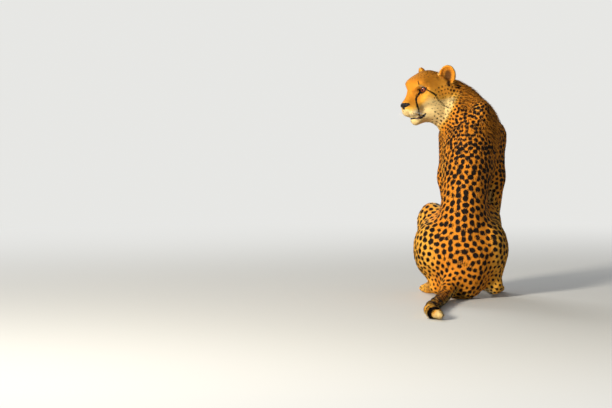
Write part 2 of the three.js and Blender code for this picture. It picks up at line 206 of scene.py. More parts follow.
def object_place(tree):
    return add_node(tree, "ShaderNodeTexCoord", output="Object")


def noise(tree, scale, detail=2.0, rough=0.5):
    values = {"Vector": object_place(tree), "Scale": scale, "Detail": detail, "Roughness": rough}
    return add_node(tree, "ShaderNodeTexNoise", {}, values)


def bump(tree, height, strength, distance):
    values = {"Height": height, "Strength": strength, "Distance": distance}
    return add_node(tree, "ShaderNodeBump", {}, values)


print("shader helpers ready")

# %% Helpers for meshes and arrays
@contextmanager
def editing():
    """What stands below is done to the active mesh in edit mode."""
    bpy.ops.object.mode_set(mode="EDIT")
    yield
    bpy.ops.object.mode_set(mode="OBJECT")


def select_only(*pieces):
    """Selects these pieces and nothing else. The first is the active one."""
    bpy.ops.object.select_all(action="DESELECT")
    for piece in pieces:
        piece.select_set(True)
    bpy.context.view_layer.objects.active = pieces[0]


def numbers(items, name, width, kind=float):
    """One property of many points, edges or corners as an array with a row for each."""
    values = np.empty(len(items) * width, kind)
    items.foreach_get(name, values)
    return values.reshape(-1, width)


def norms(vectors):
    return np.linalg.norm(vectors, axis=1)


def away_from(places, at):
    return norms(places - np.array(at, float))


def on_run(points, start, end):
    """How far along a straight run each point lies, from 0 to 1, and how far away from it."""
    run = end - start
    share = np.clip((points - start) @ run / (run @ run), 0, 1)
    return share, norms(points - (start + share[:, None] * run))


def smoothstep(low, high, value):
    """0 at low and 1 at high, with a soft change between them. Low may be the larger."""
    t = np.clip((value - low) / (high - low), 0, 1)
    return t * t * (3 - 2 * t)


def blob(places, at, reach):
    """1 at a place, falling softly to nothing a little past its reach."""
    return np.exp(-(norms((places - np.array(at, float)) / reach) ** 2))


print("mesh helpers ready")

# %% Floor
SEEN_COLOUR = (0.80, 0.80, 0.78)  # what the eye sees far away, where 1 is white
FLOOR_COLOUR = (0.62, 0.62, 0.60)
FLOOR_SIZE, FADE_FROM, FADE_TO = 80, 1.0, 4.2  # metres


def seen_rays(tree):
    """1 for the rays that show a background: straight ones, reflections and refractions."""
    kinds = ("Is Camera Ray", "Is Glossy Ray", "Is Transmission Ray")
    rays = [add_node(tree, "ShaderNodeLightPath", output=kind) for kind in kinds]
    return (rays[0] + rays[1] + rays[2]).step(0.0, 1.0)


bpy.ops.mesh.primitive_plane_add(size=1)
floor = bpy.context.object
floor.name = "floor"
with editing():
    bpy.ops.transform.resize(value=(FLOOR_SIZE, FLOOR_SIZE, 1))
floor_material, tree, shader = new_material("pale_floor", 0.9, colour=(*FLOOR_COLOUR, 1))
place = {"Vector": object_place(tree)}
from_middle = add_node(tree, "ShaderNodeVectorMath", {"operation": "LENGTH"}, place, output="Value")
far = from_middle.step(FADE_FROM, FADE_TO) * seen_rays(tree)
glow = add_node(tree, "ShaderNodeEmission", {}, {"Color": (*SEEN_COLOUR, 1), "Strength": 1.0})
both = add_node(tree, "ShaderNodeMixShader", {}, {0: far, 1: Socket(tree, shader.outputs[0]), 2: glow})
tree.links.new(both.output, tree.nodes["Material Output"].inputs["Surface"])
floor.data.materials.append(floor_material)
print("floor faces:", len(floor.data.polygons))

# %% Lamps
WORLD_LIGHT = 0.18  # the world's strength on the animal


def area_lamp(name, place, target, power, size, colour=(1, 1, 1)):
    bpy.ops.object.light_add(type="AREA", location=place)
    lamp = bpy.context.object
    lamp.name = name
    lamp.data.energy, lamp.data.size, lamp.data.color = power, size, colour
    lamp.rotation_euler = (Vector(target) - Vector(place)).to_track_quat("-Z", "Y").to_euler()


area_lamp("key", (-3.3, -4.25, 2.0), (0, 0.1, 0.45), 450, 0.9, (1.0, 0.93, 0.80))
area_lamp("fill", (3.6, -3.0, 2.4), (0, 0.1, 0.4), 5, 3.0, (0.88, 0.93, 1.0))
area_lamp("rim", (-1.5, 4.0, 3.0), (0, 0.2, 0.5), 100, 2.0)
world = bpy.data.worlds.new("world")
bpy.context.scene.world = world
world.use_nodes = True
tree = world.node_tree
seen = seen_rays(tree)
background = tree.nodes["Background"]
tree.links.new(mixed(tree, seen, (0.9, 0.94, 1.0), SEEN_COLOUR).output, background.inputs["Color"])
tree.links.new((seen * (1 - WORLD_LIGHT) + WORLD_LIGHT).output, background.inputs["Strength"])
print("lamps: key, fill, rim")

# %% [markdown]
# ## The body's lines
#
# A coat's length, the size of its spots and the way its hairs lie all follow the
# body's own lines: down the neck and back, down each limb, and out along the tail.
# Each line below runs the way the hairs lie, with its hair length, spot radius,
# spot spacing and how much wider than long a spot is. Everything on the skin is
# later blended from the lines near it.

# %% The head's own frame
SKULL_AT = Vector((-120, 245, 766))  # millimetres, as the rest of this cell
HEAD_YAW, HEAD_PITCH, HEAD_ROLL = 131, 12, 4
NOSE_Y = 136
CHEST_AT, CHEST_YAW = Vector((44, 240, 0)), -8
HEAD_MIDDLE = (0, 30, -20)  # in the head's own millimetres

head_frame = (
    Matrix.Translation(SKULL_AT)
    @ Matrix.Rotation(math.radians(HEAD_YAW), 4, "Z")
    @ Matrix.Rotation(math.radians(-HEAD_PITCH), 4, "X")
    @ Matrix.Rotation(math.radians(HEAD_ROLL), 4, "Y")
)
chest_frame = Matrix.Translation(CHEST_AT) @ Matrix.Rotation(math.radians(CHEST_YAW), 4, "Z")


def on_head(x, y, z):
    return tuple(head_frame @ Vector((x, y, z)))


def on_chest(x, y, z):
    return tuple(chest_frame @ Vector((x, y, z)))


def rotation_of(matrix):
    return np.array(matrix.to_3x3())


HEAD_TURN = rotation_of(head_frame)


def to_head(points):
    """World metres to the head's own millimetres: x right, y to the nose, z to the crown."""
    return (points / MM - np.array(SKULL_AT)) @ HEAD_TURN


def from_head(points):
    return (points @ HEAD_TURN.T + np.array(SKULL_AT)) * MM


print("nose tip at", [round(v * MM, 3) for v in on_head(0, NOSE_Y, -36)])

# %% Lines of the body
FOOT_SHIFT = {-1: -22, 1: 10}  # how far each hind foot is moved out, left and right
CROWN = tuple(head_frame.to_3x3() @ Vector((0, 0, 1)))
BACK, NAPE, UP = (0, -1, 0.2), (0.62, 0.1, 0.78), (0, 0, 1)


def out(s):
    """The outer side of a leg."""
    return (s, -0.1, 0)


def ankle(s):
    """Where a hind foot meets its shank."""
    return (s * (112 + FOOT_SHIFT[s]), 60, 40)


def pair(line):
    """One line for the left side, where s is -1, and its twin for the right, where it is 1."""
    return [line(s) for s in (-1, 1)]


LINES = [
    # from, to, its back side, hair, spot radius, spacing, wider than long
    (on_head(0, 130, -20), on_head(0, 40, 60), CROWN, 4, 1.6, 11, 1.0),  # nose and forehead
    (on_head(0, 40, 60), on_head(0, -60, 50), CROWN, 6, 1.9, 9, 1.0),  # crown
    # cheeks
    *pair(lambda s: (on_head(s * 36, 90, -60), on_head(s * 50, -10, -50), CROWN, 6, 2.0, 11, 1.0)),
    (on_head(0, 100, -105), on_head(0, 10, -115), CROWN, 8, 2.0, 14, 1.0),  # chin
    ((-84, 262, 756), (-6, 262, 724), NAPE, 9, 5.6, 14, 1.4),  # neck
    ((-6, 262, 724), (42, 250, 640), NAPE, 9, 7.0, 15.5, 1.5),
    ((-88, 230, 684), (-12, 262, 606), BACK, 10, 4.4, 15, 1.3),  # throat
    ((42, 240, 640), (36, 200, 530), BACK, 9, 8.8, 18, 1.5),  # withers
    ((36, 200, 530), (22, 140, 420), BACK, 9, 11.2, 22.5, 1.15),  # back
    ((22, 140, 420), (6, 76, 290), BACK, 9, 12.2, 26.5, 1.0),
    ((6, 76, 290), (0, 30, 170), BACK, 9, 12.8, 29, 0.95),  # rump
    ((0, 30, 170), (-30, 0, 100), BACK, 9, 11.4, 27, 0.9),
    ((48, 330, 600), (30, 260, 400), BACK, 12, 4.8, 25, 1.0),  # chest and belly
    # shoulder
    *pair(lambda s: (on_chest(s * 46, -20, 640), on_chest(s * 92, 60, 540), out(s), 9, 8.2, 18, 1.3)),
    *pair(lambda s: (on_chest(s * 92, 60, 540), on_chest(s * 92, 46, 434), out(s), 8, 9.0, 20, 1.1)),
    # foreleg
    *pair(lambda s: (on_chest(s * 92, 50, 434), on_chest(s * 64, 90, 150), out(s), 6, 6.6, 17, 1.0)),
    *pair(lambda s: (on_chest(s * 64, 96, 150), on_chest(s * 56, 172, 14), out(s), 4.5, 3.6, 12, 1.0)),
    # haunch
    *pair(lambda s: ((s * 60, 60, 250), (s * 130, 110, 150), out(s), 8, 10.6, 24, 0.9)),
    # thigh and knee
    *pair(lambda s: ((s * 70, 100, 330), (s * 110, 215, 270), out(s), 8, 9.8, 22.5, 0.9)),
    # shank
    *pair(lambda s: ((s * 110, 190, 240), ankle(s), out(s), 7, 7.2, 18.5, 1.0)),
    *pair(lambda s: (ankle(s), (s * (128 + FOOT_SHIFT[s]), 290, 16), out(s), 4.5, 3.8, 12.5, 1.0)),
    ((-16, 10, 128), (-60, -86, 38), BACK, 9, 7.8, 20, 1.0),  # tail
    ((-60, -86, 38), (-96, -240, 21), UP, 9, 7.8, 20, 1.0),
    ((-96, -240, 21), (-136, -460, 21), UP, 10, 9.6, 23, 1.3),
    ((-136, -460, 21), (-148, -570, 21), UP, 12, 10.5, 27, 1.7),
    ((-148, -570, 21), (-122, -710, 18), UP, 16, 9.0, 60, 1.6),
]
BLEND = 0.012  # metres over which one line hands over to the next
line_from = np.array([line[0] for line in LINES]) * MM
line_to = np.array([line[1] for line in LINES]) * MM
line_back = np.array([line[2] for line in LINES], float)
line_facts = np.array([line[3:] for line in LINES], float)


def along_body(points):
    """For each point: the way the hairs lie, its back side, and its four facts, blended."""
    way, rear = np.zeros_like(points), np.zeros_like(points)
    facts, total = np.zeros((len(points), 4)), np.zeros(len(points))
    for start, end, side, fact in zip(line_from, line_to, line_back, line_facts):
        run = end - start
        _, away = on_run(points, start, end)
        weight = 1 / (away**2 + BLEND**2) ** 2
        way += weight[:, None] * run / np.linalg.norm(run)
        rear += weight[:, None] * side
        facts += weight[:, None] * fact
        total += weight
    total = total[:, None]
    return way / total, rear / total, facts / total


print("body lines:", len(LINES))

# %% [markdown]
# ## The skin
#
# A real skin is one sheet from nose to tail. The solids are parted by thin cuts, so
# copies of them are swollen by a hair's width until they meet, and a voxel remesh
# turns them into one closed surface. A relaxing pass takes the facets out. The body
# can then do with far fewer faces than the head, which keeps them all.

# %% Join the flesh into one surface
FLESH = [n for n in frame["nodes"] if not n.startswith("eye_")]
SWELL, VOXEL = 0.0006, 0.0026
nodes = frame["nodes"].values()  # the eyes too, which fill their sockets for now
select_only(frame["nodes"][FLESH[0]], *nodes)
bpy.ops.object.duplicate()
bpy.ops.object.parent_clear(type="CLEAR_KEEP_TRANSFORM")
bpy.ops.object.join()
skin = bpy.context.object
skin.name = "skin"
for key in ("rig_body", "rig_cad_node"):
    if key in skin:
        del skin[key]
skin.data.materials.clear()
with editing():
    bpy.ops.mesh.select_all(action="SELECT")
    bpy.ops.mesh.remove_doubles(threshold=0.00002)
    bpy.ops.transform.shrink_fatten(value=SWELL)
remesh = skin.modifiers.new("one_surface", "REMESH")
remesh.mode, remesh.voxel_size = "VOXEL", VOXEL
bpy.ops.object.modifier_apply(modifier=remesh.name)
for vertex in skin.data.vertices:
    vertex.select = False
skin.data.vertices[int(np.argmax([v.co.z for v in skin.data.vertices]))].select = True
with editing():
    bpy.ops.mesh.select_linked()
    bpy.ops.mesh.select_all(action="INVERT")
    bpy.ops.mesh.delete(type="VERT")  # shells left inside
print("skin after the remesh:", len(skin.data.vertices), "points")

# %% Relax the facets away
def read(mesh):
    return numbers(mesh.vertices, "co", 3)


def write(mesh, points):
    mesh.vertices.foreach_set("co", np.ascontiguousarray(points, float).ravel())
    mesh.update()


def edges_of(mesh):
    return numbers(mesh.edges, "vertices", 2, int)


def averaged(values, edges, count):
    """The mean of each point's neighbours."""
    a, b = edges.T
    summed = np.stack([np.bincount(a, v[b], count) + np.bincount(b, v[a], count) for v in values.T], 1)
    neighbours = np.bincount(a, minlength=count) + np.bincount(b, minlength=count)
    return summed / np.maximum(neighbours, 1)[:, None]


def relaxed(mesh, rounds, weight):
    """Smooths without shrinking: each push in is followed by a slightly larger push out."""
    points, edges = read(mesh), edges_of(mesh)
    for _ in range(rounds):
        for push in (0.62, -0.64):
            points += push * weight[:, None] * (averaged(points, edges, len(points)) - points)
    return points


points = read(skin.data)
on_the_head = smoothstep(150, 95, away_from(to_head(points), HEAD_MIDDLE))
write(skin.data, relaxed(skin.data, 8, np.ones(len(points))))
write(skin.data, relaxed(skin.data, 70, 1 - 0.88 * on_the_head))
print("points on the head:", int((on_the_head > 0.5).sum()))

# %% Fewer faces on the body
KEPT_SHARE = 0.25
thin = skin.vertex_groups.new(name="body")
body_weight = 1 - smoothstep(0, 0.6, on_the_head)
for level in np.linspace(0.1, 1, 10):
    in_level = np.nonzero(np.abs(body_weight - level) <= 0.05)[0]
    thin.add(in_level.tolist(), float(level), "REPLACE")
decimate = skin.modifiers.new("fewer", "DECIMATE")
decimate.ratio, decimate.vertex_group = KEPT_SHARE, thin.name
decimate.use_collapse_triangulate = True
bpy.ops.object.modifier_apply(modifier=decimate.name)
print("skin now:", len(skin.data.polygons), "faces")

# %% [markdown]
# ## Finer faces where the form is fine
#
# Lids, nostrils and lips need points well under a millimetre apart, and the rest of
# the head does not. So the faces round them are selected by place and subdivided,
# and so are the toes.

# %% The paws' own frames
TOES = [(-27, 30, 14), (-10, 41, 15), (10, 41, 15), (27, 30, 14)]  # across, ahead, radius


def paw_frame(x, y, turn, base=Matrix()):
    """A frame on the floor under one paw, in millimetres, with y running ahead to the toes."""
    return base @ Matrix.Translation((x, y, 0)) @ Matrix.Rotation(math.radians(turn), 4, "Z")


PAWS = {}
for side, s in (("left", -1), ("right", 1)):
    PAWS["fore_" + side] = paw_frame(s * 56, 130, -s * 4, chest_frame)
    PAWS["hind_" + side] = paw_frame(s * (126 + FOOT_SHIFT[s]), 252, -s * 6)


def on_paw(points, paw):
    """World metres to one paw's millimetres: x across the toes, y ahead, z up."""
    return (points / MM - np.array(paw.translation)) @ rotation_of(paw)


print("paws:", list(PAWS))

# %% Subdivide round the eyes, nose, mouth and toes
EYE_RADIUS = 18.5
EYE_AT = np.array([30, 39, 10])


def mirrored(values, s):
    """The same place on the right side, where s is 1, or the left, where it is -1."""
    return np.array(values, float) * (s, 1, 1)


def refine(near):
    """Subdivides every face whose points are all in the near mask."""
    select_only(skin)
    with editing():
        bpy.ops.mesh.select_all(action="DESELECT")
        bpy.ops.mesh.select_mode(type="VERT")
    skin.data.vertices.foreach_set("select", near)
    with editing():
        bpy.ops.mesh.select_mode(type="FACE")
        bpy.ops.mesh.subdivide(number_cuts=1, smoothness=0.4)
        bpy.ops.mesh.select_all(action="DESELECT")


def from_path(places, path):
    """Distance in millimetres to a path of a few points, and how far along it, from 0 to 1."""
    path = np.array(path, float)
    best, share_at = np.full(len(places), 1e9), np.zeros(len(places))
    lengths = norms(np.diff(path, axis=0))
    done = 0.0
    for start, end, length in zip(path[:-1], path[1:], lengths):
        share, away = on_run(places, start, end)
        closer = away < best
        best = np.where(closer, away, best)
        share_at = np.where(closer, (done + share * length) / lengths.sum(), share_at)
        done += length
    return best, share_at


LIPS = [(0, 104, -88), (11, 100, -88), (20, 92, -90), (25, 80, -91), (28, 68, -87), (31, 60, -82)]
LIP_WIDTH = ([0, 0.3, 0.55, 0.85, 1], [3.0, 4.4, 5.6, 4.8, 2.8])  # from the middle to the corner


def from_pair(places, path):
    """The same for a path of the right side and its mirrored twin, whichever is nearer."""
    right, right_share = from_path(places, path)
    left, left_share = from_path(places, np.array(path) * (-1, 1, 1))
    return np.minimum(right, left), np.where(right < left, right_share, left_share)


ROUNDS = [(27, 42, 13, PAWS.values()), (22.5, 0, 7, [])]  # reach round eyes, muzzle, lips; paws
for eye_reach, mouth_reach, lip_reach, paws in ROUNDS:
    places = to_head(read(skin.data))
    near = np.zeros(len(places), bool)
    for s in (-1, 1):
        near |= away_from(places, mirrored(EYE_AT, s)) < eye_reach
    near |= (away_from(places, (0, 112, -62)) < mouth_reach) & (away_from(places, (0, 124, -40)) < 44)
    near |= from_pair(places, LIPS)[0] < lip_reach
    for paw in paws:
        x, y, z = on_paw(read(skin.data), paw).T
        near |= (np.abs(x) < 46) & (y > 6) & (y < 70) & (z < 50)
    refine(near)
    print("faces:", len(skin.data.polygons))

# %% [markdown]
# ## Sculpting the face
#
# The points of the head are moved in its own frame, as with a sculpting brush. A
# lid is a thin shell that hugs the eyeball and stops at an almond-shaped rim, so
# each point near an eye is set by how far it lies from that rim, measured over the
# ball: outside the rim it rests on the ball, inside it sinks out of sight.

# %% Brushes
def normals_of(mesh):
    return numbers(mesh.vertices, "normal", 3)


def eye_axes(s, turned_out, raised):
    """The way an eye faces, its outer side and its upper side, in the head's frame."""
    out, up = math.radians(turned_out), math.radians(raised)
    ahead = np.array([s * math.sin(out) * math.cos(up), math.cos(out) * math.cos(up), math.sin(up)])
    outer = s * np.cross(ahead, (0, 0, 1))
    outer /= np.linalg.norm(outer)
    return ahead, outer, s * np.cross(outer, ahead)


LID_TURN, LID_RAISE = 23, -6
LID_HALF_WIDTH, LID_TOP, LID_BOTTOM = 12.8, 5.8, 7.4


def lid_distance(places, s):
    """Distance past the lids' rim over the eyeball, in millimetres: negative in the opening."""
    ahead, outer, upper = eye_axes(s, LID_TURN, LID_RAISE)
    ray = places - mirrored(EYE_AT, s)
    length = norms(ray)
    ray = ray / length[:, None]
    turn = np.arccos(np.clip(ray @ ahead, -1, 1))
    scale = EYE_RADIUS * turn / np.maximum(np.sin(turn), 1e-6)
    u, w = scale * (ray @ outer), scale * (ray @ upper)
    w = w - 0.2 * u  # the outer corner sits higher
    arch = 1 - (u / LID_HALF_WIDTH) ** 2
    rim = np.maximum(w - LID_TOP * arch, -LID_BOTTOM * arch - w) * 0.8
    rim = np.where(np.abs(u) > LID_HALF_WIDTH, np.hypot(np.abs(u) - LID_HALF_WIDTH, w), rim)
    duct, _ = from_path(np.stack([u, w, 0 * u], 1), [(-12, 0, 0), (-15.5, -1.6, 0), (-17.5, -4.2, 0)])
    return np.minimum(rim, duct - 0.9), w, turn, length, ray


print("brushes ready")

# %% The ears' own frames
EAR_AT = {-1: (-64, -56, 35), 1: (66, -51, 36)}
EAR_RADII = (33, 20, 43)


def ear_local(places, s):
    """Places in one ear's frame: y out of its bowl and z to its tip."""
    turn = Matrix.Rotation(-s * math.radians(36), 3, "Z") @ Matrix.Rotation(s * math.radians(16), 3, "Y")
    return (places - np.array(EAR_AT[s])) @ np.array(turn)


def on_ear_of(places):
    """1 on the ears and 0 on the rest of the head."""
    weight = np.zeros(len(places))
    for s in (-1, 1):
        local = ear_local(places, s)
        shell = norms(local / EAR_RADII)
        weight = np.maximum(weight, smoothstep(1.25, 1.08, shell) * smoothstep(-24, -8, local[:, 2]))
    return weight


print("ears at", EAR_AT)

# %% Take off the coat's depth
SOLE_GAP = 0.0012  # the skin of the soles and the seat stays this far above the floor
points, normals = read(skin.data), normals_of(skin.data)
_, _, facts = along_body(points)
places = to_head(points)
on_ear = on_ear_of(places)
nose_shell = norms((places - (0, NOSE_Y - 12.5, -35)) / (22, 14, 13.5))
on_nose = smoothstep(1.25, 1.0, nose_shell) * smoothstep(NOSE_Y - 22, NOSE_Y - 17, places[:, 1])
hair = facts[:, 0] * (1 - on_ear) + 3.0 * on_ear
depth = np.clip(0.42 * hair, 1.2, 6.0) * (1 - on_nose)
points -= normals * (depth * MM)[:, None]
points[:, 2] = np.maximum(points[:, 2], SOLE_GAP)
write(skin.data, points)
print("coat depth:", round(depth.min(), 1), "to", round(depth.max(), 1), "mm")

# %% Sculpt the head
places, normals = to_head(read(skin.data)), normals_of(skin.data) @ HEAD_TURN
SCULPT = [
    # at (right side), reach, push out in millimetres
    ((44, 52, -8), (12, 14, 9), 1.6),  # cheekbone below the eye
    ((16, 94, -10), (7, 18, 10), -1.8),  # side of the bridge
    ((20, 110, -64), (13, 15, 14), 3.2),  # whisker pad
    ((34, 66, -62), (10, 14, 14), -2.0),  # fold behind the pad
    ((52, 18, -40), (20, 24, 22), 2.0),  # cheek
    ((10, 134, -38), (5.0, 6.0, 3.6), -5.5),  # nostril
    ((17, 127, -41), (4.0, 5.0, 2.2), -3.4),  # nostril's slit
    ((9, 133, -28), (6, 7, 4), 1.2),  # nostril's roof
]
moved = np.zeros(len(places))
for at, reach, push in SCULPT:
    for s in (-1, 1):
        moved += push * blob(places, mirrored(at, s), np.array(reach, float))
groove, _ = from_path(places, [(0, NOSE_Y, -34), (0, NOSE_Y - 6, -52), (0, NOSE_Y - 22, -80)])
moved -= 3.0 * np.exp(-((groove / 2.4) ** 2))
places += normals * moved[:, None]
for s in (-1, 1):
    rim, w, turn, length, ray = lid_distance(places, s)
    upper_lid = smoothstep(-2, 4, w)
    roll, crease = np.exp(-(((rim - 1.4) / 1.2) ** 2)), np.exp(-(((rim - 5.2) / 1.4) ** 2))
    shell = 1.3 + 0.5 * roll - 0.7 * upper_lid * crease
    in_reach = np.maximum(smoothstep(18, 7, length - EYE_RADIUS), 1 - smoothstep(1.5, 6, rim))
    hug = (1 - smoothstep(2.0, 11, rim)) * in_reach
    wanted = np.maximum(length, EYE_RADIUS + shell)
    wanted = wanted + hug * (EYE_RADIUS + shell - wanted)
    wanted -= (shell + 4.5) * smoothstep(0.3, -1.3, rim)
    near = (turn < 1.5) & (length < EYE_RADIUS + 34)
    places[near] = (mirrored(EYE_AT, s) + ray * wanted[:, None])[near]
write(skin.data, from_head(places))
print("moved up to", round(float(np.abs(moved).max()), 1), "mm")

# %% Sculpt the toes
points, normals = read(skin.data), normals_of(skin.data)
moved = np.zeros(len(points))
for paw in PAWS.values():
    local = on_paw(points, paw)
    x, y, z = local.T
    for between in (-18.5, 0, 18.5):
        groove = 3.6 * np.exp(-(((x - between) / 2.8) ** 2))
        moved -= groove * smoothstep(8, 26, y) * smoothstep(66, 60, y) * smoothstep(44, 26, z)
    for toe_x, toe_y, radius in TOES:
        moved += 2.4 * blob(local, (toe_x, toe_y + 4, radius + 8), (8, 14, 9))
points += normals * (moved * MM)[:, None]
points[:, 2] = np.maximum(points[:, 2], SOLE_GAP)
write(skin.data, points)
print("toes moved up to", round(float(np.abs(moved).max()), 1), "mm")

# %% Smooth the folds round the lids
weight = np.zeros(len(places))
for s in (-1, 1):
    rim, w, turn, length, ray = lid_distance(places, s)
    round_lids = smoothstep(1.8, 4.5, rim) * smoothstep(24, 12, rim) * (length < EYE_RADIUS + 30)
    weight = np.maximum(weight, round_lids)
write(skin.data, relaxed(skin.data, 24, np.maximum(weight, on_ear_of(places))))
print("smoothed points:", int((weight > 0).sum()))

# %% Carve the lips
places, normals = to_head(read(skin.data)), normals_of(skin.data) @ HEAD_TURN
away, share = from_pair(places, LIPS)
above = places[:, 2] - np.interp(share, [0, 0.6, 1], [-88, -90, -82])
roll = 1.3 * np.exp(-(((away - 4.0) / 2.0) ** 2)) * np.where(above > 0, 1.0, 0.6)
push = -3.4 * np.exp(-((away / 1.7) ** 2)) + roll
push *= smoothstep(1.02, 0.9, share)
write(skin.data, from_head(places + normals * push[:, None]))
print("lips carved")

# %% [markdown]
# ## Eyes
#
# Each eye is a ball that fills its lids. Its pole looks the way the animal looks,
# so rings of faces run round the pupil, and the clear bulge over the iris is raised
# a little there. The colours are told by distance from the pole.

# %% Eyeballs
GAZE_TURN, GAZE_RAISE = 19, -5
IRIS, PUPIL = 10.2, 4.4


def store(mesh, name, values):
    """Keeps one number for each point of the mesh, for the materials."""
    kept = mesh.attributes.new(name, "FLOAT", "POINT")
    kept.data.foreach_set("value", np.ascontiguousarray(values, np.float32))


def make_eye(side, s):
    """A ball whose pole looks ahead, with a bulge over the iris."""
    centre = from_head(mirrored(EYE_AT, s)[None])[0]
    ahead = HEAD_TURN @ eye_axes(s, GAZE_TURN, GAZE_RAISE)[0]
    bpy.ops.mesh.primitive_uv_sphere_add(segments=64, ring_count=40, radius=EYE_RADIUS * MM)
    eye = bpy.context.object
    eye.name = "eyeball_" + side
    points = read(eye.data)
    from_pole = np.hypot(points[:, 0], points[:, 1]) / MM
    in_front = points[:, 2] > 0
    bulge = np.where(in_front, 1.5 * np.clip(1 - (from_pole / (IRIS + 1)) ** 2, 0, 1), 0)
    points[:, 2] += bulge * MM
    turn = Vector((0, 0, 1)).rotation_difference(Vector(ahead)).to_matrix()
    write(eye.data, points @ np.array(turn).T + centre)
    store(eye.data, "ring", np.where(in_front, from_pole, EYE_RADIUS))
    angle = np.arctan2(points[:, 1], points[:, 0])
    store(eye.data, "spoke_x", np.cos(angle))
    store(eye.data, "spoke_y", np.sin(angle))
    bpy.ops.object.shade_smooth()
    return eye


eyes = {side: make_eye(side, s) for side, s in (("left", -1), ("right", 1))}
print("eyeballs:", [len(eye.data.polygons) for eye in eyes.values()])

# %% [markdown]
# ## Claws
#
# A cheetah can't draw its claws in fully, so they show in front of each toe. One
# claw is made from a cone that is divided along its length and bent down, and every
# paw has four copies of it.

# %% Claws
CLAW_LENGTH, CLAW_RADIUS, CLAW_BEND = 15, 3.0, math.radians(62)


def claw_at(paw, x, y, r):
    """One bent cone, from inside the toe to a little above the floor."""
    bpy.ops.mesh.primitive_cone_add(vertices=12, radius1=CLAW_RADIUS, radius2=0.25, depth=CLAW_LENGTH)
    claw = bpy.context.object
    with editing():
        bpy.ops.mesh.select_all(action="DESELECT")
    for edge in claw.data.edges:
        low, high = (claw.data.vertices[v].co.z for v in edge.vertices)
        edge.select = abs(high - low) > CLAW_LENGTH / 2
    with editing():
        bpy.ops.mesh.subdivide(number_cuts=7)
    p = read(claw.data)
    along = p[:, 2] / CLAW_LENGTH + 0.5
    bend = CLAW_BEND * along
    reach, drop = np.sin(bend) / CLAW_BEND * CLAW_LENGTH, (1 - np.cos(bend)) / CLAW_BEND * CLAW_LENGTH
    across, up = p[:, 0] * 0.72, p[:, 1] * (1 + 0.2 * (1 - along))
    ahead, height = y + r - 7.5 + reach + up * np.sin(bend), r + 2.5 - drop + up * np.cos(bend)
    local = np.stack([x + across, ahead, height], 1)
    write(claw.data, np.array([paw @ Vector(point) for point in local]) * MM)
    bpy.ops.object.shade_smooth()
    return claw


def paw_claws(name, paw):
    claws = [claw_at(paw, *toe) for toe in TOES]
    select_only(*claws)
    bpy.ops.object.join()
    claws[0].name = name
    return claws[0]


claws = [paw_claws("claws_" + name, paw) for name, paw in PAWS.items()]
print("claws:", [(c.name, round(float(read(c.data)[:, 2].min()), 4)) for c in claws])

# %% [markdown]
# ## Markings
#
# A cheetah's spots are solid and black. They are small and close on the neck,
# larger and further apart on the rump, and they close up into rings near the end of
# the tail. Every marking is kept as one number, the distance past its edge in
# millimetres, so that the skin and each tuft of hair can ask for it at their own
# place and agree.

# %% Spread the spots
CELL = 0.038  # metres, more than the widest spacing
TAIL_TOP = 0.1  # all of the tail's end lies lower than this
SPOTS_END, RINGS_FROM = -0.49, -0.47  # how far back the tail has spots, and from where it has rings
ROW_SQUEEZE = 0.8  # how strongly rows close up where spots are wider than long
NEIGHBOURS, REACH = 6, 1.35  # which spots push each other, and from how many spacings away


def tangent(vectors, normals):
    """The part of each vector that lies in the surface, at length 1."""
    flat = vectors - normals * np.sum(vectors * normals, 1)[:, None]
    return flat / np.maximum(norms(flat), 1e-9)[:, None]


def lie_on(mesh, points, normals):
    """The lie of the coat at each point of a mesh, evened out along the surface."""
    way, rear, facts = along_body(points)
    way = tangent(way, normals)
    edges = edges_of(mesh)
    both = np.concatenate([way, rear, facts], 1)
    for _ in range(30):
        both = 0.4 * both + 0.6 * averaged(both, edges, len(points))
    return tangent(both[:, :3], normals), both[:, 3:6], both[:, 6:]


def spread_spots(points, way, facts, free):
    """Picks points no nearer to each other than their spacing, along and across the hair."""
    grid, kept = {}, []
    cells = (points // CELL).astype(int)
    beside = [(a, b, c) for a in (-1, 0, 1) for b in (-1, 0, 1) for c in (-1, 0, 1)]
    for room in (0.92, 0.8):
        for i in dice.permutation(np.flatnonzero(free)):
            x, y, z = cells[i]
            near = [j for a, b, c in beside for j in grid.get((x + a, y + b, z + c), ())]
            if near:
                apart = points[near] - points[i]
                along = apart @ way[i]
                across = np.sqrt(np.maximum(np.sum(apart**2, 1) - along**2, 0))
                gap = np.hypot(along * facts[i, 3] ** ROW_SQUEEZE, across)
                if (gap < facts[i, 2] * MM * room).any():
                    continue
            grid.setdefault((x, y, z), []).append(i)
            kept.append(i)
    return np.array(kept)


def tree_of(points):
    tree = kdtree.KDTree(len(points))
    for i, point in enumerate(points):
        tree.insert(point, i)
    tree.balance()
    return tree


def set_apart(points, way, seeds, spacing, wide):
    """Pushes spots away from their near neighbours along the skin, which evens them out."""
    on_skin, at = tree_of(points), points[seeds]
    for step in np.linspace(0.4, 0.1, 16):
        reach, tree = spacing[seeds] * MM * REACH, tree_of(at)
        found = [tree.find_n(place, NEIGHBOURS + 1)[1:] for place in at]
        near = np.array([[hit[1] for hit in hits] for hits in found])
        apart = at[:, None] - at[near]
        squeeze = (wide[seeds] ** ROW_SQUEEZE - 1)[:, None]
        along = np.einsum("ijk,ik->ij", apart, way[seeds]) * squeeze
        apart += along[:, :, None] * way[seeds][:, None]
        away = np.linalg.norm(apart, axis=2) + 1e-6
        push = apart / away[:, :, None] * np.clip(1 - away / reach[:, None], 0, 1)[:, :, None]
        moved = at + push.sum(1) * (step * reach)[:, None]
        at = np.array([skin.closest_point_on_mesh(Vector(place))[1] for place in moved])
        seeds = np.array([on_skin.find(place)[1] for place in at])
    return at, seeds


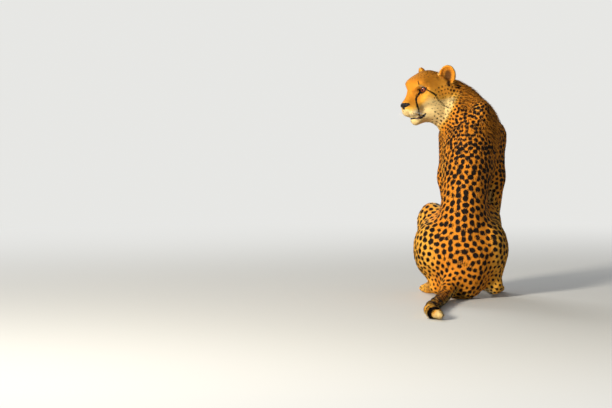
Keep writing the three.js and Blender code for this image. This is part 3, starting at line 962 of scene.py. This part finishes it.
points, normals = read(skin.data), normals_of(skin.data)
places = to_head(points)
skin_way, skin_rear, skin_facts = lie_on(skin.data, points, normals)
x, y, z = places.T
bare_face = (y > np.where(z > -6, -46, 24)) & (y < 170) & (z > -150) & (z < 54) & (np.abs(x) < 90)
tail_end = (points[:, 1] < SPOTS_END) & (points[:, 2] < TAIL_TOP)
free = ~bare_face & (on_ear_of(places) < 0.1) & ~tail_end
seeds = spread_spots(points, skin_way, skin_facts, free)
seed_places, seeds = set_apart(points, skin_way, seeds, skin_facts[:, 2], skin_facts[:, 3])
seed_way, seed_facts = skin_way[seeds], skin_facts[seeds]
seed_normal = normals[seeds]
seed_size = dice.choice([1.04, 0.94, 0.74], len(seeds), p=[0.6, 0.3, 0.1])
seed_size = seed_size * dice.uniform(0.94, 1.06, len(seeds))
seed_skew = dice.uniform(0.85, 1.18, len(seeds))
seed_tree = tree_of(seed_places)
print("spots:", len(seeds))

# %% Lines and dots of the face
TEAR = [(24, 60, 4), (25, 68, 0), (23, 78, -8), (23, 85, -19), (25, 89, -30)]
TEAR += [(33, 95, -47), (33, 94, -66), (29, 84, -86)]
TEAR_WIDTH = ([0, 0.14, 0.28, 0.45, 0.62, 0.78, 1], [7.0, 6.2, 4.0, 3.6, 5.4, 4.6, 6.4])
CHEEK_LINE = [(46, 50, 8), (53, 44, 2), (59, 39, -4), (65, 26, -18), (67, 22, -28)]
CHEEK_LINE += [(68, 18, -42), (69, 7, -60), (74, -3, -70), (86, -9, -78)]
CHEEK_WIDTH = ([0, 0.1, 0.3, 0.5, 0.8, 1], [1.8, 2.4, 3.6, 3.6, 3.2, 2.6])
BROW_MARK = [(32, 66, 44), (36, 69, 38), (37, 70, 31)]
PARTING = [(0, NOSE_Y - 6, -56), (0, NOSE_Y - 14, -68), (0, NOSE_Y - 28, -84)]  # nose to mouth
FACE_LINES = [
    # path on the right side, then how far along it and the half width there
    (TEAR, TEAR_WIDTH),
    (CHEEK_LINE, CHEEK_WIDTH),
    (BROW_MARK, ([0], [1.9])),
    (PARTING, ([0], [2.4])),
    (LIPS, LIP_WIDTH),
]
FACE_DOTS = [(60, 36, -43, 3.8), (52, 42, -55, 3.2), (47, 50, -46, 2.6), (61, 30, -53, 2.8)]
FACE_DOTS += [(50, 40, -68, 2.8)]
for row in range(3):  # where the whiskers grow
    FACE_DOTS += [(12 + 8 * i, 126 - 3.2 * i - 1.5 * row, -56 - 6 * row, 1.5) for i in range(4)]


def face_marks(places):
    """Distance past the edge of the nearest dark line or dot of the face, in millimetres."""
    marks = np.full(len(places), np.inf)
    for path, width in FACE_LINES:
        away, share = from_pair(places, path)
        marks = np.minimum(marks, away - np.interp(share, *width))
    for x, y, z, radius in FACE_DOTS:
        for s in (-1, 1):
            marks = np.minimum(marks, away_from(places, (s * x, y, z)) - radius)
    return marks


def leather_edge(places):
    """Distance past the edge of the nose leather, in millimetres."""
    wing_path = [(0, NOSE_Y, -32), (12, NOSE_Y - 3, -31), (20, NOSE_Y - 12, -31)]
    wing, out_along = from_pair(places, wing_path)
    stem, _ = from_path(places, [(0, NOSE_Y, -38), (0, NOSE_Y - 4, -50), (0, NOSE_Y - 10, -62)])
    wing = wing - np.interp(out_along, [0, 0.5, 1], [9.5, 8.5, 5.0])
    return np.minimum(wing, stem - np.interp(places[:, 2], [-62, -50, -42], [1.0, 2.2, 7.0]))


print("face lines ready")

# %% What each part of the body adds
RINGS = [(0.500, 9), (0.553, 10), (0.608, 11), (0.668, 15)]  # metres back, half width in mm
TAIL_TIP = (-0.688, -0.700)  # where the tail turns white
PALE_PATCHES = [
    # at (right side), reach, how pale
    ((34, 62, 26), (12, 12, 6), 0.5),  # above the eye
    ((50, 44, -34), (30, 30, 30), 0.6),  # cheek
    ((5, 127, -62), (9, 16, 14), 1.0),  # front of the muzzle
]


def folded(places):
    """Places with the left side laid over the right."""
    return np.abs(places) * (1, 0, 0) + places * (0, 1, 1)


def head_share(places):
    """1 on the head, falling to 0 down the neck."""
    return smoothstep(150, 110, away_from(places, HEAD_MIDDLE))


def facing_back(normals, rear):
    """1 where the surface faces the animal's back side and -1 where it faces away."""
    return np.sum(normals * rear, 1) / norms(rear)


def spot_edges(points):
    """Distance past the edge of the nearest spot, each a little wider or longer than round."""
    found = [seed_tree.find_n(point, 4) for point in points]
    marks = np.full(len(points), 40.0)
    for column in np.array([[hit[1] for hit in hits] for hits in found]).T:
        apart = (points - seed_places[column]) / MM
        radius = seed_facts[column, 1] * seed_size[column]
        wide = np.sqrt(seed_facts[column, 3]) * seed_skew[column]
        along = np.sum(apart * seed_way[column], 1)
        deep = np.sum(apart * seed_normal[column], 1)
        across = np.sqrt(np.maximum(np.sum(apart**2, 1) - along**2 - deep**2, 0))
        reach = np.sqrt((along * wide) ** 2 + (across / wide) ** 2 + (0.6 * deep) ** 2)
        marks = np.minimum(marks, reach - radius)
    return marks


def tail_rings(points, marks):
    """The marks with the rings of the tail's end added."""
    tail_end = (points[:, 1] < RINGS_FROM) & (points[:, 2] < TAIL_TOP)
    for at, half in RINGS:
        ring = np.abs(-points[:, 1] - at) / MM - half
        marks = np.where(tail_end, np.minimum(marks, ring), marks)
    return marks


def rims(places, leather, marks):
    """Distance past bare skin, the marks with the black rims of lids and lips and the painted shade of
    the mouth's gap, and the gums.
    """
    bare = np.full(len(places), 9.0)
    for s in (-1, 1):
        rim, w, turn, length, _ = lid_distance(places, s)
        close = (turn < 1.5) & (length < EYE_RADIUS + 14)
        bare = np.where(close, np.minimum(bare, rim), bare)
        marks = np.where(close, np.minimum(marks, rim - 3.0 - 1.6 * smoothstep(-4, 3, w)), marks)
    lip, share = from_pair(places, LIPS)
    lip_edge = lip - np.interp(share, *LIP_WIDTH) + 1.6
    # Black over the middle of the mouth: the lips' own black, and painted shade in the gap between them.
    in_mouth = 5 * (norms((places - (0, 82, -89)) / (24, 24, 5)) - 1)
    bare = np.minimum.reduce([bare, leather + 0.4, lip_edge, in_mouth])
    gum = smoothstep(2.2, 1.3, lip) * smoothstep(0.2, 0.3, share) * smoothstep(0.72, 0.62, share)
    return bare, np.minimum(marks, in_mouth), gum


def pale_share(points, places, facing, on_head):
    """0 where the coat is tawny, on the back, and 1 where it is cream."""
    pale = smoothstep(0.85, -0.7, facing)
    haunch = smoothstep(70, 140, np.abs(points[:, 0]) / MM) * smoothstep(0.37, 0.29, points[:, 2])
    pale = np.maximum(pale, 0.42 * haunch)
    below = places[:, 2] + 0.12 * (places[:, 1] - 60) + 0.1 * np.abs(places[:, 0])
    face = 0.2 + smoothstep(-22, -66, below)
    for at, reach, share in PALE_PATCHES:
        face = face + share * blob(folded(places), at, reach)
    pale = pale * (1 - on_head) + np.clip(face, 0, 1) * on_head
    return np.maximum(pale, smoothstep(*TAIL_TIP, points[:, 1]) * (points[:, 2] < TAIL_TOP))


def ear_looks(places, local_normals, marks, pale):
    """Adds the black backs and pale rims of the ears, and how much painted shade lies deep in each ear's
    bowl and in its lower slit.
    """
    inner = np.zeros(len(places))
    for s in (-1, 1):
        local = ear_local(places, s)
        facing = ear_local(local_normals + np.array(EAR_AT[s]), s)[:, 1]
        ear = smoothstep(1.25, 1.1, norms(local / EAR_RADII)) * smoothstep(-26, -12, local[:, 2])
        hollow = ear * smoothstep(-0.15, 0.35, facing)
        inside = local * (-s, 1, 1)
        # Painted shade: the bowl darkens towards its deep middle, and a slit low in the bowl goes black.
        bowl = np.clip(1.5 * blob(inside, (-1, -3, 0), (14, 26, 24)), 0, 1)
        notch = 2.0 * blob(inside, (-8, 12, -24), (6, 14, 13))
        inner = np.maximum.reduce([inner, hollow * bowl, notch])
        to_edge = norms(local[:, (0, 2)] / (EAR_RADII[0], EAR_RADII[2]))
        pale = np.where(hollow > 0.3, 0.15 + 0.6 * smoothstep(0.86, 1.0, to_edge), pale)
        back_patch = (norms((local - (0, -10, 6)) / (27, 24, 28)) - 1) * 26
        marks = np.where((ear > 0.3) & (facing < 0.1), back_patch, marks + 30 * ear)
        below_ear = away_from(places, (s * 86, -78, -6)) - 13
        marks = np.minimum(marks, np.where(ear > 0.3, 40, below_ear))
    return marks, pale, inner


print("rings:", len(RINGS))

# %% One answer for skin and tufts
SHOWN = ("marks", "pale", "leather", "bare", "gum", "inner")


def markings(points, normals, way, rear, facts):
    """Everything the materials need to know about a place on the skin."""
    places, leather = to_head(points), leather_edge(to_head(points))
    on_head = head_share(places)
    marks = tail_rings(points, spot_edges(points))
    marks = np.where(on_head > 0, np.minimum(marks, face_marks(places)), marks)
    bare, marks, gum = rims(places, leather, marks)
    pale = pale_share(points, places, facing_back(normals, rear), on_head)
    marks, pale, inner = ear_looks(places, normals @ HEAD_TURN, marks, pale)
    shown = dict(zip(SHOWN, (marks, pale, leather, bare, gum, inner)))
    return {**shown, "way": way, "rear": rear, "hair": facts[:, 0]}


found = markings(points, normals, skin_way, skin_rear, skin_facts)
for name in SHOWN:
    store(skin.data, name, np.clip(found[name], -40, 40))
print("dark share:", round(float((found["marks"] < 0).mean()), 2))

# %% [markdown]
# ## Coat and skin colours
#
# The skin and the tufts share one set of shader steps. A tuft keeps the numbers of
# the place where it is rooted, and adds its own small difference in tone and how far
# along the hair each point lies.

# %% Coat material
FUR_TAWNY, FUR_FLANK, FUR_CREAM = linear(226, 138, 28), linear(246, 182, 66), linear(248, 216, 148)
FUR_BLACK, LEATHER_BLACK = linear(17, 11, 8), linear(26, 20, 20)
# The dark brown is painted shade deep in the ears' bowls; the mauve is the gums' own colour.
EAR_SHADE_BROWN, GUM_MAUVE = linear(48, 20, 7), linear(142, 106, 100)


def coat_colours(tree, softness, ear_shade_share):
    """Tawny, flank and cream with painted shade in the ear bowls, and 1 where a marking lies over them.
    """
    marks, pale = attribute(tree, "marks"), attribute(tree, "pale")
    slow, fine = noise(tree, 9.0, 2.0), noise(tree, 130.0, 3.0)
    edge = marks + (fine - 0.5) * 2.6
    inner = attribute(tree, "inner")
    fur = layered(
        tree,
        FUR_TAWNY,
        ((pale + (slow - 0.5) * 0.4).step(0.0, 0.6), FUR_FLANK),
        ((pale + (slow - 0.5) * 0.25).step(0.5, 1.0), FUR_CREAM),
        # painted shade in the ear bowls, black in their lower slits
        (inner.step(0.0, 1.0) * ear_shade_share, EAR_SHADE_BROWN),
        (inner.step(1.0, 1.8), FUR_BLACK),
    )
    return fur, edge.step(softness, -softness)


skin_material, tree, shader = new_material("coat_skin", 0.75, specular=0.2)
fur, dark = coat_colours(tree, 0.9, 0.9)
grain = noise(tree, 420.0, 4.0, 0.7)
leather, bare = attribute(tree, "leather"), attribute(tree, "bare")
colour = layered(
    tree,
    fur,
    (dark, FUR_BLACK),
    (leather.step(0.6, -0.6), LEATHER_BLACK),
    (bare.step(1.0, 0.2), LEATHER_BLACK),
    (attribute(tree, "gum").step(0.0, 1.0), GUM_MAUVE),
)
dirt = mixed(tree, 0.5, colour, (0.02, 0.012, 0.006))
colour = mixed(tree, grain.step(0.35, 0.75) * 0.25, colour, dirt)
feed(tree, shader, "Base Color", colour)
wet = bare.step(0.8, -0.2)
feed(tree, shader, "Roughness", 0.78 - wet * 0.38)
place = {"Vector": object_place(tree), "Scale": 900.0}
pebbles = add_node(tree, "ShaderNodeTexVoronoi", {"feature": "DISTANCE_TO_EDGE"}, place)
height = grain * 0.5 + pebbles.step(0.0, 0.2) * wet * 0.3
feed(tree, shader, "Normal", bump(tree, height, 0.55, 0.0008))
dress(skin, skin_material)

fur_material, tree, shader = new_material("coat_tufts", 0.62, specular=0.04)
fur, dark = coat_colours(tree, 0.5, 0.85)
tip, tint = attribute(tree, "tip"), attribute(tree, "tint")
fur = mixed(tree, tint.step(0.0, 1.0) * 0.3, fur, mixed(tree, 0.45, fur, FUR_CREAM))
# Painted shade: each tuft darkens towards its root, where the hairs over it would shade it.
fur = mixed(tree, (1 - tip) * 0.34, fur, mixed(tree, 0.6, fur, (0.05, 0.02, 0.008)))
colour = mixed(tree, dark, fur, mixed(tree, tip * 0.15, FUR_BLACK, (0.04, 0.022, 0.012)))
feed(tree, shader, "Base Color", colour)
print("coat materials ready")

# %% Eye, claw and whisker materials
WET = {"specular": 0.2, "clear_coat": 0.8, "coat_roughness": 0.02}
eye_material, tree, shader = new_material("eye_amber", 0.06, **WET)
ring = attribute(tree, "ring")
around = {"X": attribute(tree, "spoke_x") * 6.0, "Y": attribute(tree, "spoke_y") * 6.0, "Z": ring * 0.22}
spokes = add_node(tree, "ShaderNodeCombineXYZ", {}, around)
values = {"Vector": spokes, "Scale": 3.0, "Detail": 4.0, "Roughness": 0.6}
fibres = add_node(tree, "ShaderNodeTexNoise", {}, values)
stops = [(0.25, linear(72, 20, 8)), (0.5, linear(136, 46, 14)), (0.75, linear(186, 84, 28))]
amber = add_node(tree, "ShaderNodeValToRGB", {"stops": stops}, {"Fac": fibres})
colour = layered(
    tree,
    amber,
    (ring.step(PUPIL + 2.6, PUPIL + 0.2) * 0.4, linear(192, 96, 36)),
    (ring.step(IRIS - 2.6, IRIS), linear(38, 16, 8)),
    (ring.step(IRIS - 0.3, IRIS + 1.2), linear(58, 34, 26)),
    (ring.step(PUPIL + 0.4, PUPIL - 0.3), (0.002, 0.002, 0.002)),
)
feed(tree, shader, "Base Color", colour)
for eye in eyes.values():
    dress(eye, eye_material)

claw_material, tree, shader = new_material("claw_horn", 0.34)
streaks = noise(tree, 300.0, 3.0)
feed(tree, shader, "Base Color", mixed(tree, streaks, linear(34, 28, 26), linear(84, 72, 62)))
feed(tree, shader, "Normal", bump(tree, streaks, 0.3, 0.0004))
for claw in claws:
    dress(claw, claw_material)

whisker_material, tree, shader = new_material("whisker_white", 0.4)
colour = mixed(tree, noise(tree, 200.0), linear(226, 216, 198), linear(250, 246, 236))
feed(tree, shader, "Base Color", colour)
print("eye, claw and whisker materials ready")

# %% [markdown]
# ## The coat
#
# The hair is short and lies flat, so most of it is a close cover of thin, pointed
# tufts that overlap like shingles and follow the lie of the coat. Each is a spike of
# four triangles. The nape, throat, belly and tail tip carry longer tufts of more
# pieces, which bend. They are made as joined meshes from arrays, because hundreds of
# thousands of them are needed. Every tuft keeps a small patch of the skin's own
# unwrap, at its root, so that a baked picture of the coat has a place for it.

# %% Unwrap the skin
select_only(skin)
skin.data.uv_layers.new(name="OFBake")
with editing():
    bpy.ops.mesh.select_all(action="SELECT")
    bpy.ops.uv.smart_project(angle_limit=math.radians(66), island_margin=0.0008)
bpy.ops.object.shade_smooth()
skin.data.calc_loop_triangles()
triangles = numbers(skin.data.loop_triangles, "vertices", 3, int)
corners = numbers(skin.data.loop_triangles, "loops", 3, int)
unwrap = numbers(skin.data.uv_layers["OFBake"].data, "uv", 2)
skin_points, skin_normals = read(skin.data), normals_of(skin.data)
a, b, c = (skin_points[triangles[:, i]] for i in range(3))
area = norms(np.cross(b - a, c - a)) / 2
print("skin area:", round(float(area.sum()), 2), "m2")

# %% Places for the roots
def roots(count, density):
    """Spreads roots evenly for a density given at each point of the skin."""
    share = np.cumsum(area * density[triangles].mean(1))
    wanted = (np.arange(count) + dice.random(count)) / count * share[-1]
    pick = np.searchsorted(share, wanted)
    u, v = dice.random(count), dice.random(count)
    u, v = np.where(u + v > 1, 1 - u, u), np.where(u + v > 1, 1 - v, v)
    weights = np.stack([1 - u - v, u, v], 1)[:, :, None]
    at = (skin_points[triangles[pick]] * weights).sum(1)
    normal = (skin_normals[triangles[pick]] * weights).sum(1)
    normal /= norms(normal)[:, None]
    lie = [(values[triangles[pick]] * weights).sum(1) for values in (skin_way, skin_rear, skin_facts)]
    uv = (unwrap[corners[pick]] * weights).sum(1)
    return {"at": at, "normal": normal, "uv": uv, "lie": np.concatenate(lie, 1)}


def growing(bare, points):
    """1 where hair grows: not on leather, lids, lips or the soles."""
    return smoothstep(0.3, 1.2, bare) * smoothstep(0.001, 0.006, points[:, 2])


growth = growing(found["bare"], skin_points)
print("share of the skin's points with hair:", round(float((growth > 0.5).mean()), 2))

# %% Tufts
PATCH = 0.003  # how wide each tuft's patch of the unwrap is
TUFT_FLOOR = 0.0008  # no hair reaches lower
TAPER = 0.35  # how much of its width a tuft loses on the way to its tip


def tuft_points(at, length, width, lift, yaw, segments, curl, sink):
    """Each tuft from root to tip: points, shading, unwrap and share of the length."""
    normal, way = at["normal"], at["found"]["way"]
    side = np.cross(way, normal)
    ahead = way * np.cos(yaw)[:, None] + side * np.sin(yaw)[:, None]
    across = np.cross(normal, ahead)
    centre, angle = at["at"] - normal * (sink * MM), lift
    points, shades, uvs, shares = [], [], [], []
    for step in range(segments):
        t = step / segments
        half = (width * MM / 2 * (1 - TAPER * t))[:, None]
        ridge = normal * np.cos(angle)[:, None] - ahead * np.sin(angle)[:, None]
        points += [centre - across * half, centre + across * half, centre + ridge * half * 0.8]
        shades += [normal - across * 0.55, normal + across * 0.55, normal + ahead * 0.1]
        place, beside = (t - 0.5) * PATCH, PATCH / 2 * (1 - t)
        patch = [(-beside, place), (beside, place), (0, place + 0.0002)]
        uvs += [at["uv"] + corner for corner in patch]
        shares += [t, t, t]
        angle = lift - curl * ((step + 1) / segments)
        run = ahead * np.cos(angle)[:, None] + normal * np.sin(angle)[:, None]
        centre = centre + run * (length * MM / segments)[:, None]
    points = np.stack([*points, centre], 1)
    points[:, :, 2] = np.maximum(points[:, :, 2], TUFT_FLOOR)
    shades = np.stack([*shades, normal * 0.8 + ahead * 0.45], 1).reshape(-1, 3)
    uvs = np.stack([*uvs, at["uv"] + (0, PATCH / 2)], 1).reshape(-1, 2)
    return points, shades / norms(shades)[:, None], uvs, [*shares, 1.0]


def tuft_faces(count, segments):
    """The closed root of each tuft, two triangles on each side of every length, and the tip."""
    per, sides = 3 * segments + 1, ((0, 1), (1, 2), (2, 0))
    faces = [(0, 2, 1)]
    for low in range(0, per - 4, 3):
        for i, j in sides:
            faces += [(low + i, low + j, low + 3 + j), (low + i, low + 3 + j, low + 3 + i)]
    faces += [(per - 4 + i, per - 4 + j, per - 1) for i, j in sides]
    return (np.array(faces)[None] + (np.arange(count) * per)[:, None, None]).reshape(-1, 3)


def tufts(name, at, length, width, lift, yaw, segments=1, curl=0.0, sink=0.7):
    """One joined mesh of pointed tufts; lengths in millimetres, lift and yaw in radians."""
    points, shades, uvs, shares = tuft_points(at, length, width, lift, yaw, segments, curl, sink)
    count, per = points.shape[:2]
    faces = tuft_faces(count, segments)
    mesh = bpy.data.meshes.new(name)
    mesh.vertices.add(count * per)
    mesh.vertices.foreach_set("co", points.ravel())
    mesh.loops.add(faces.size)
    mesh.loops.foreach_set("vertex_index", faces.ravel())
    mesh.polygons.add(len(faces))
    mesh.polygons.foreach_set("loop_start", np.arange(len(faces)) * 3)
    mesh.polygons.foreach_set("use_smooth", np.ones(len(faces), bool))
    mesh.update(calc_edges=True)
    mesh.uv_layers.new(name="OFBake").data.foreach_set("uv", uvs[faces.ravel()].ravel())
    mesh.normals_split_custom_set_from_vertices(shades)
    for key in ("marks", "pale", "inner"):
        store(mesh, key, np.repeat(np.clip(at["found"][key], -40, 40), per))
    store(mesh, "tint", np.repeat(dice.random(count), per))
    store(mesh, "tip", np.tile(shares, count))
    piece = bpy.data.objects.new(name, mesh)
    bpy.context.collection.objects.link(piece)
    mesh.materials.append(fur_material)
    return piece


def chosen(at, keep):
    """The roots for which keep is true."""
    picked = {key: value[keep] for key, value in at.items() if key != "found"}
    picked["found"] = {key: value[keep] for key, value in at["found"].items()}
    return picked


print("tuft maker ready")

# %% Short tufts all over
SHORT_TUFTS = 285000
TUFT_LIMIT = 48000  # tufts in one piece


def short_size(points, found):
    """Length and width of the short tufts at each place, in millimetres."""
    ears = on_ear_of(to_head(points))
    long = np.clip(found["hair"] * (1 - 0.35 * ears) * 0.95, 3.4, 12)
    long = np.minimum(long, 2.2 + 0.9 * np.maximum(found["bare"], 0))
    return long, np.clip(0.19 * long, 0.8, 1.8)


def rooted(count, density, stride=0.5):
    """Roots with their markings, which are read a little way along each hair."""
    at = roots(count, density)
    way, rear, facts = tangent(at["lie"][:, :3], at["normal"]), at["lie"][:, 3:6], at["lie"][:, 6:]
    at["found"] = markings(at["at"] + way * (facts[:, :1] * MM * stride), at["normal"], way, rear, facts)
    return at


skin_long, skin_wide = short_size(skin_points, found)
on_head = head_share(to_head(skin_points))
at = rooted(SHORT_TUFTS, growth / (skin_long * skin_wide) * (1 + 0.5 * on_head))
length, width = short_size(at["at"], at["found"])
length = length * dice.uniform(0.78, 1.2, SHORT_TUFTS)
lift = np.radians(dice.normal(16, 5, SHORT_TUFTS))
yaw = dice.normal(0, 0.2, SHORT_TUFTS)
order = np.argsort(at["at"][:, 2])
coat = []
for number, block in enumerate(np.array_split(order, math.ceil(SHORT_TUFTS / TUFT_LIMIT))):
    sizes = (length[block], width[block], lift[block], yaw[block])
    coat.append(tufts(f"coat_short_{number + 1}", chosen(at, block), *sizes))
print("short tufts:", SHORT_TUFTS, "in", len(coat), "pieces")

# %% [markdown]
# ## Longer hair
#
# A young cheetah keeps a rough mane on its nape. The throat, the chest and the belly
# are softer and longer than the back, the tail ends in a brush, and pale hairs cross
# the mouth of each ear. These tufts are bent out of two lengths, and stand off more.

# %% Mane, ruff, belly, tail brush and ear hairs
MANE = [(-84, 262, 756), (-6, 262, 724), (42, 250, 640), (36, 200, 530)]  # nape to withers


def long_tufts(name, count, density, length, width, lift, curl, spread, shrink):
    count = count
    at = rooted(count, density, 0.2)
    at["found"]["marks"] = at["found"]["marks"] + shrink  # long hair hides part of a spot
    sizes = dice.uniform(*length, count)
    lifts = np.radians(dice.normal(lift, 7, count))
    widths, yaws = np.full(count, float(width)), dice.normal(0, spread, count)
    piece = tufts(name, at, sizes, widths, lifts, yaws, 2, math.radians(curl), 1.0)
    print(name, count)
    return piece


skin_places = to_head(skin_points)
to_mane, mane_share = from_path(skin_points / MM, MANE)
rear_normal = facing_back(skin_normals, found["rear"])
near_neck = smoothstep(120, 90, to_mane) * (1 - on_ear_of(skin_places))
mane = near_neck * smoothstep(0.45, 0.85, rear_normal) * smoothstep(1.0, 0.75, mane_share)
mane = mane * smoothstep(-46, -62, skin_places[:, 1])
cheek_tuft = smoothstep(60, 30, away_from(folded(skin_places), (62, -20, -72)))
ruff = near_neck * smoothstep(0.2, -0.4, rear_normal) + cheek_tuft
belly = smoothstep(0.0, -0.6, rear_normal) * (1 - near_neck) * smoothstep(0.16, 0.24, skin_points[:, 2])
belly = belly * smoothstep(150, 220, away_from(skin_places, HEAD_MIDDLE))
brush = smoothstep(-0.60, -0.68, skin_points[:, 1]) * (skin_points[:, 2] < TAIL_TOP)
in_ear = np.zeros(len(skin_points))
for s in (-1, 1):
    local = ear_local(skin_places, s)
    in_bowl = smoothstep(1.1, 0.9, norms(local / (34, 26, 44)))
    in_bowl = in_bowl * smoothstep(-4, 6, local[:, 1])
    in_ear += in_bowl * smoothstep(-4, -18, local[:, 0] * s) * smoothstep(24, 4, local[:, 2])
LONG_HAIR = [
    # name, tufts, where, length, width, lift, curl, spread, how far its spots shrink
    ("mane", 5000, mane, (12, 24), 1.3, 32, 16, 0.35, 1.8),
    ("ruff", 9000, ruff, (9, 15), 1.0, 19, 9, 0.3, 1.2),
    ("belly", 6000, belly, (11, 17), 1.7, 24, 10, 0.3, 0.0),
    ("tail_brush", 2500, brush, (13, 22), 1.6, 26, 10, 0.3, 0.0),
    ("ear_hairs", 1100, in_ear, (7, 12), 0.8, 32, 12, 0.4, 0.0),
]
for name, count, where, *shape in LONG_HAIR:
    coat.append(long_tufts("coat_" + name, count, where * growth, *shape))

# %% [markdown]
# ## Whiskers
#
# Whiskers are thin, stiff and pale. They grow in rows from the pads beside the nose,
# with a few above each eye, and bend gently back. Each is a tuft of six lengths with
# its own material.

# %% Whiskers
def whiskers():
    spots, lengths = [], []
    for row in range(3):
        for i in range(4):
            for s in (-1, 1):
                spots.append((s * (15 + 7 * i), 122 - 4 * i, -58 - 6 * row))
                lengths.append(29 + 6 * i + dice.uniform(-4, 4))
    for i in range(3):
        for s in (-1, 1):
            spots.append((s * (30 + 3 * i), 66 - 2 * i, 30))
            lengths.append(22 + dice.uniform(-3, 3))
    world = from_head(np.array(spots, float))
    hits = [skin.closest_point_on_mesh(Vector(place)) for place in world]
    count = len(hits)
    at = {"at": np.array([hit[1] for hit in hits]), "normal": np.array([hit[2] for hit in hits])}
    at["uv"] = np.full((count, 2), 0.5)
    at["found"] = markings(at["at"], at["normal"], *along_body(at["at"]))
    sides = np.sign(np.array(spots)[:, :1])
    lay = np.concatenate([sides * 0.5, np.full((count, 1), -0.75), np.full((count, 1), -0.3)], 1)
    at["found"]["way"] = tangent(lay @ HEAD_TURN.T, at["normal"])
    lifts, yaws = np.radians(dice.normal(52, 5, count)), dice.normal(0, 0.12, count)
    sizes = (np.array(lengths), np.full(count, 0.5), lifts, yaws)
    piece = tufts("whiskers", at, *sizes, 6, math.radians(40), 1.0)
    dress(piece, whisker_material)
    return piece


whisker_piece = whiskers()
print("whiskers:", len(whisker_piece.data.polygons), "faces")

# %% Finish
bpy.ops.object.select_all(action="DESELECT")
for piece in [skin, *eyes.values(), *claws, *coat, whisker_piece]:
    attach(piece, "root")
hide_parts(*FLESH)
for side, eye in eyes.items():
    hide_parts("eye_" + side)
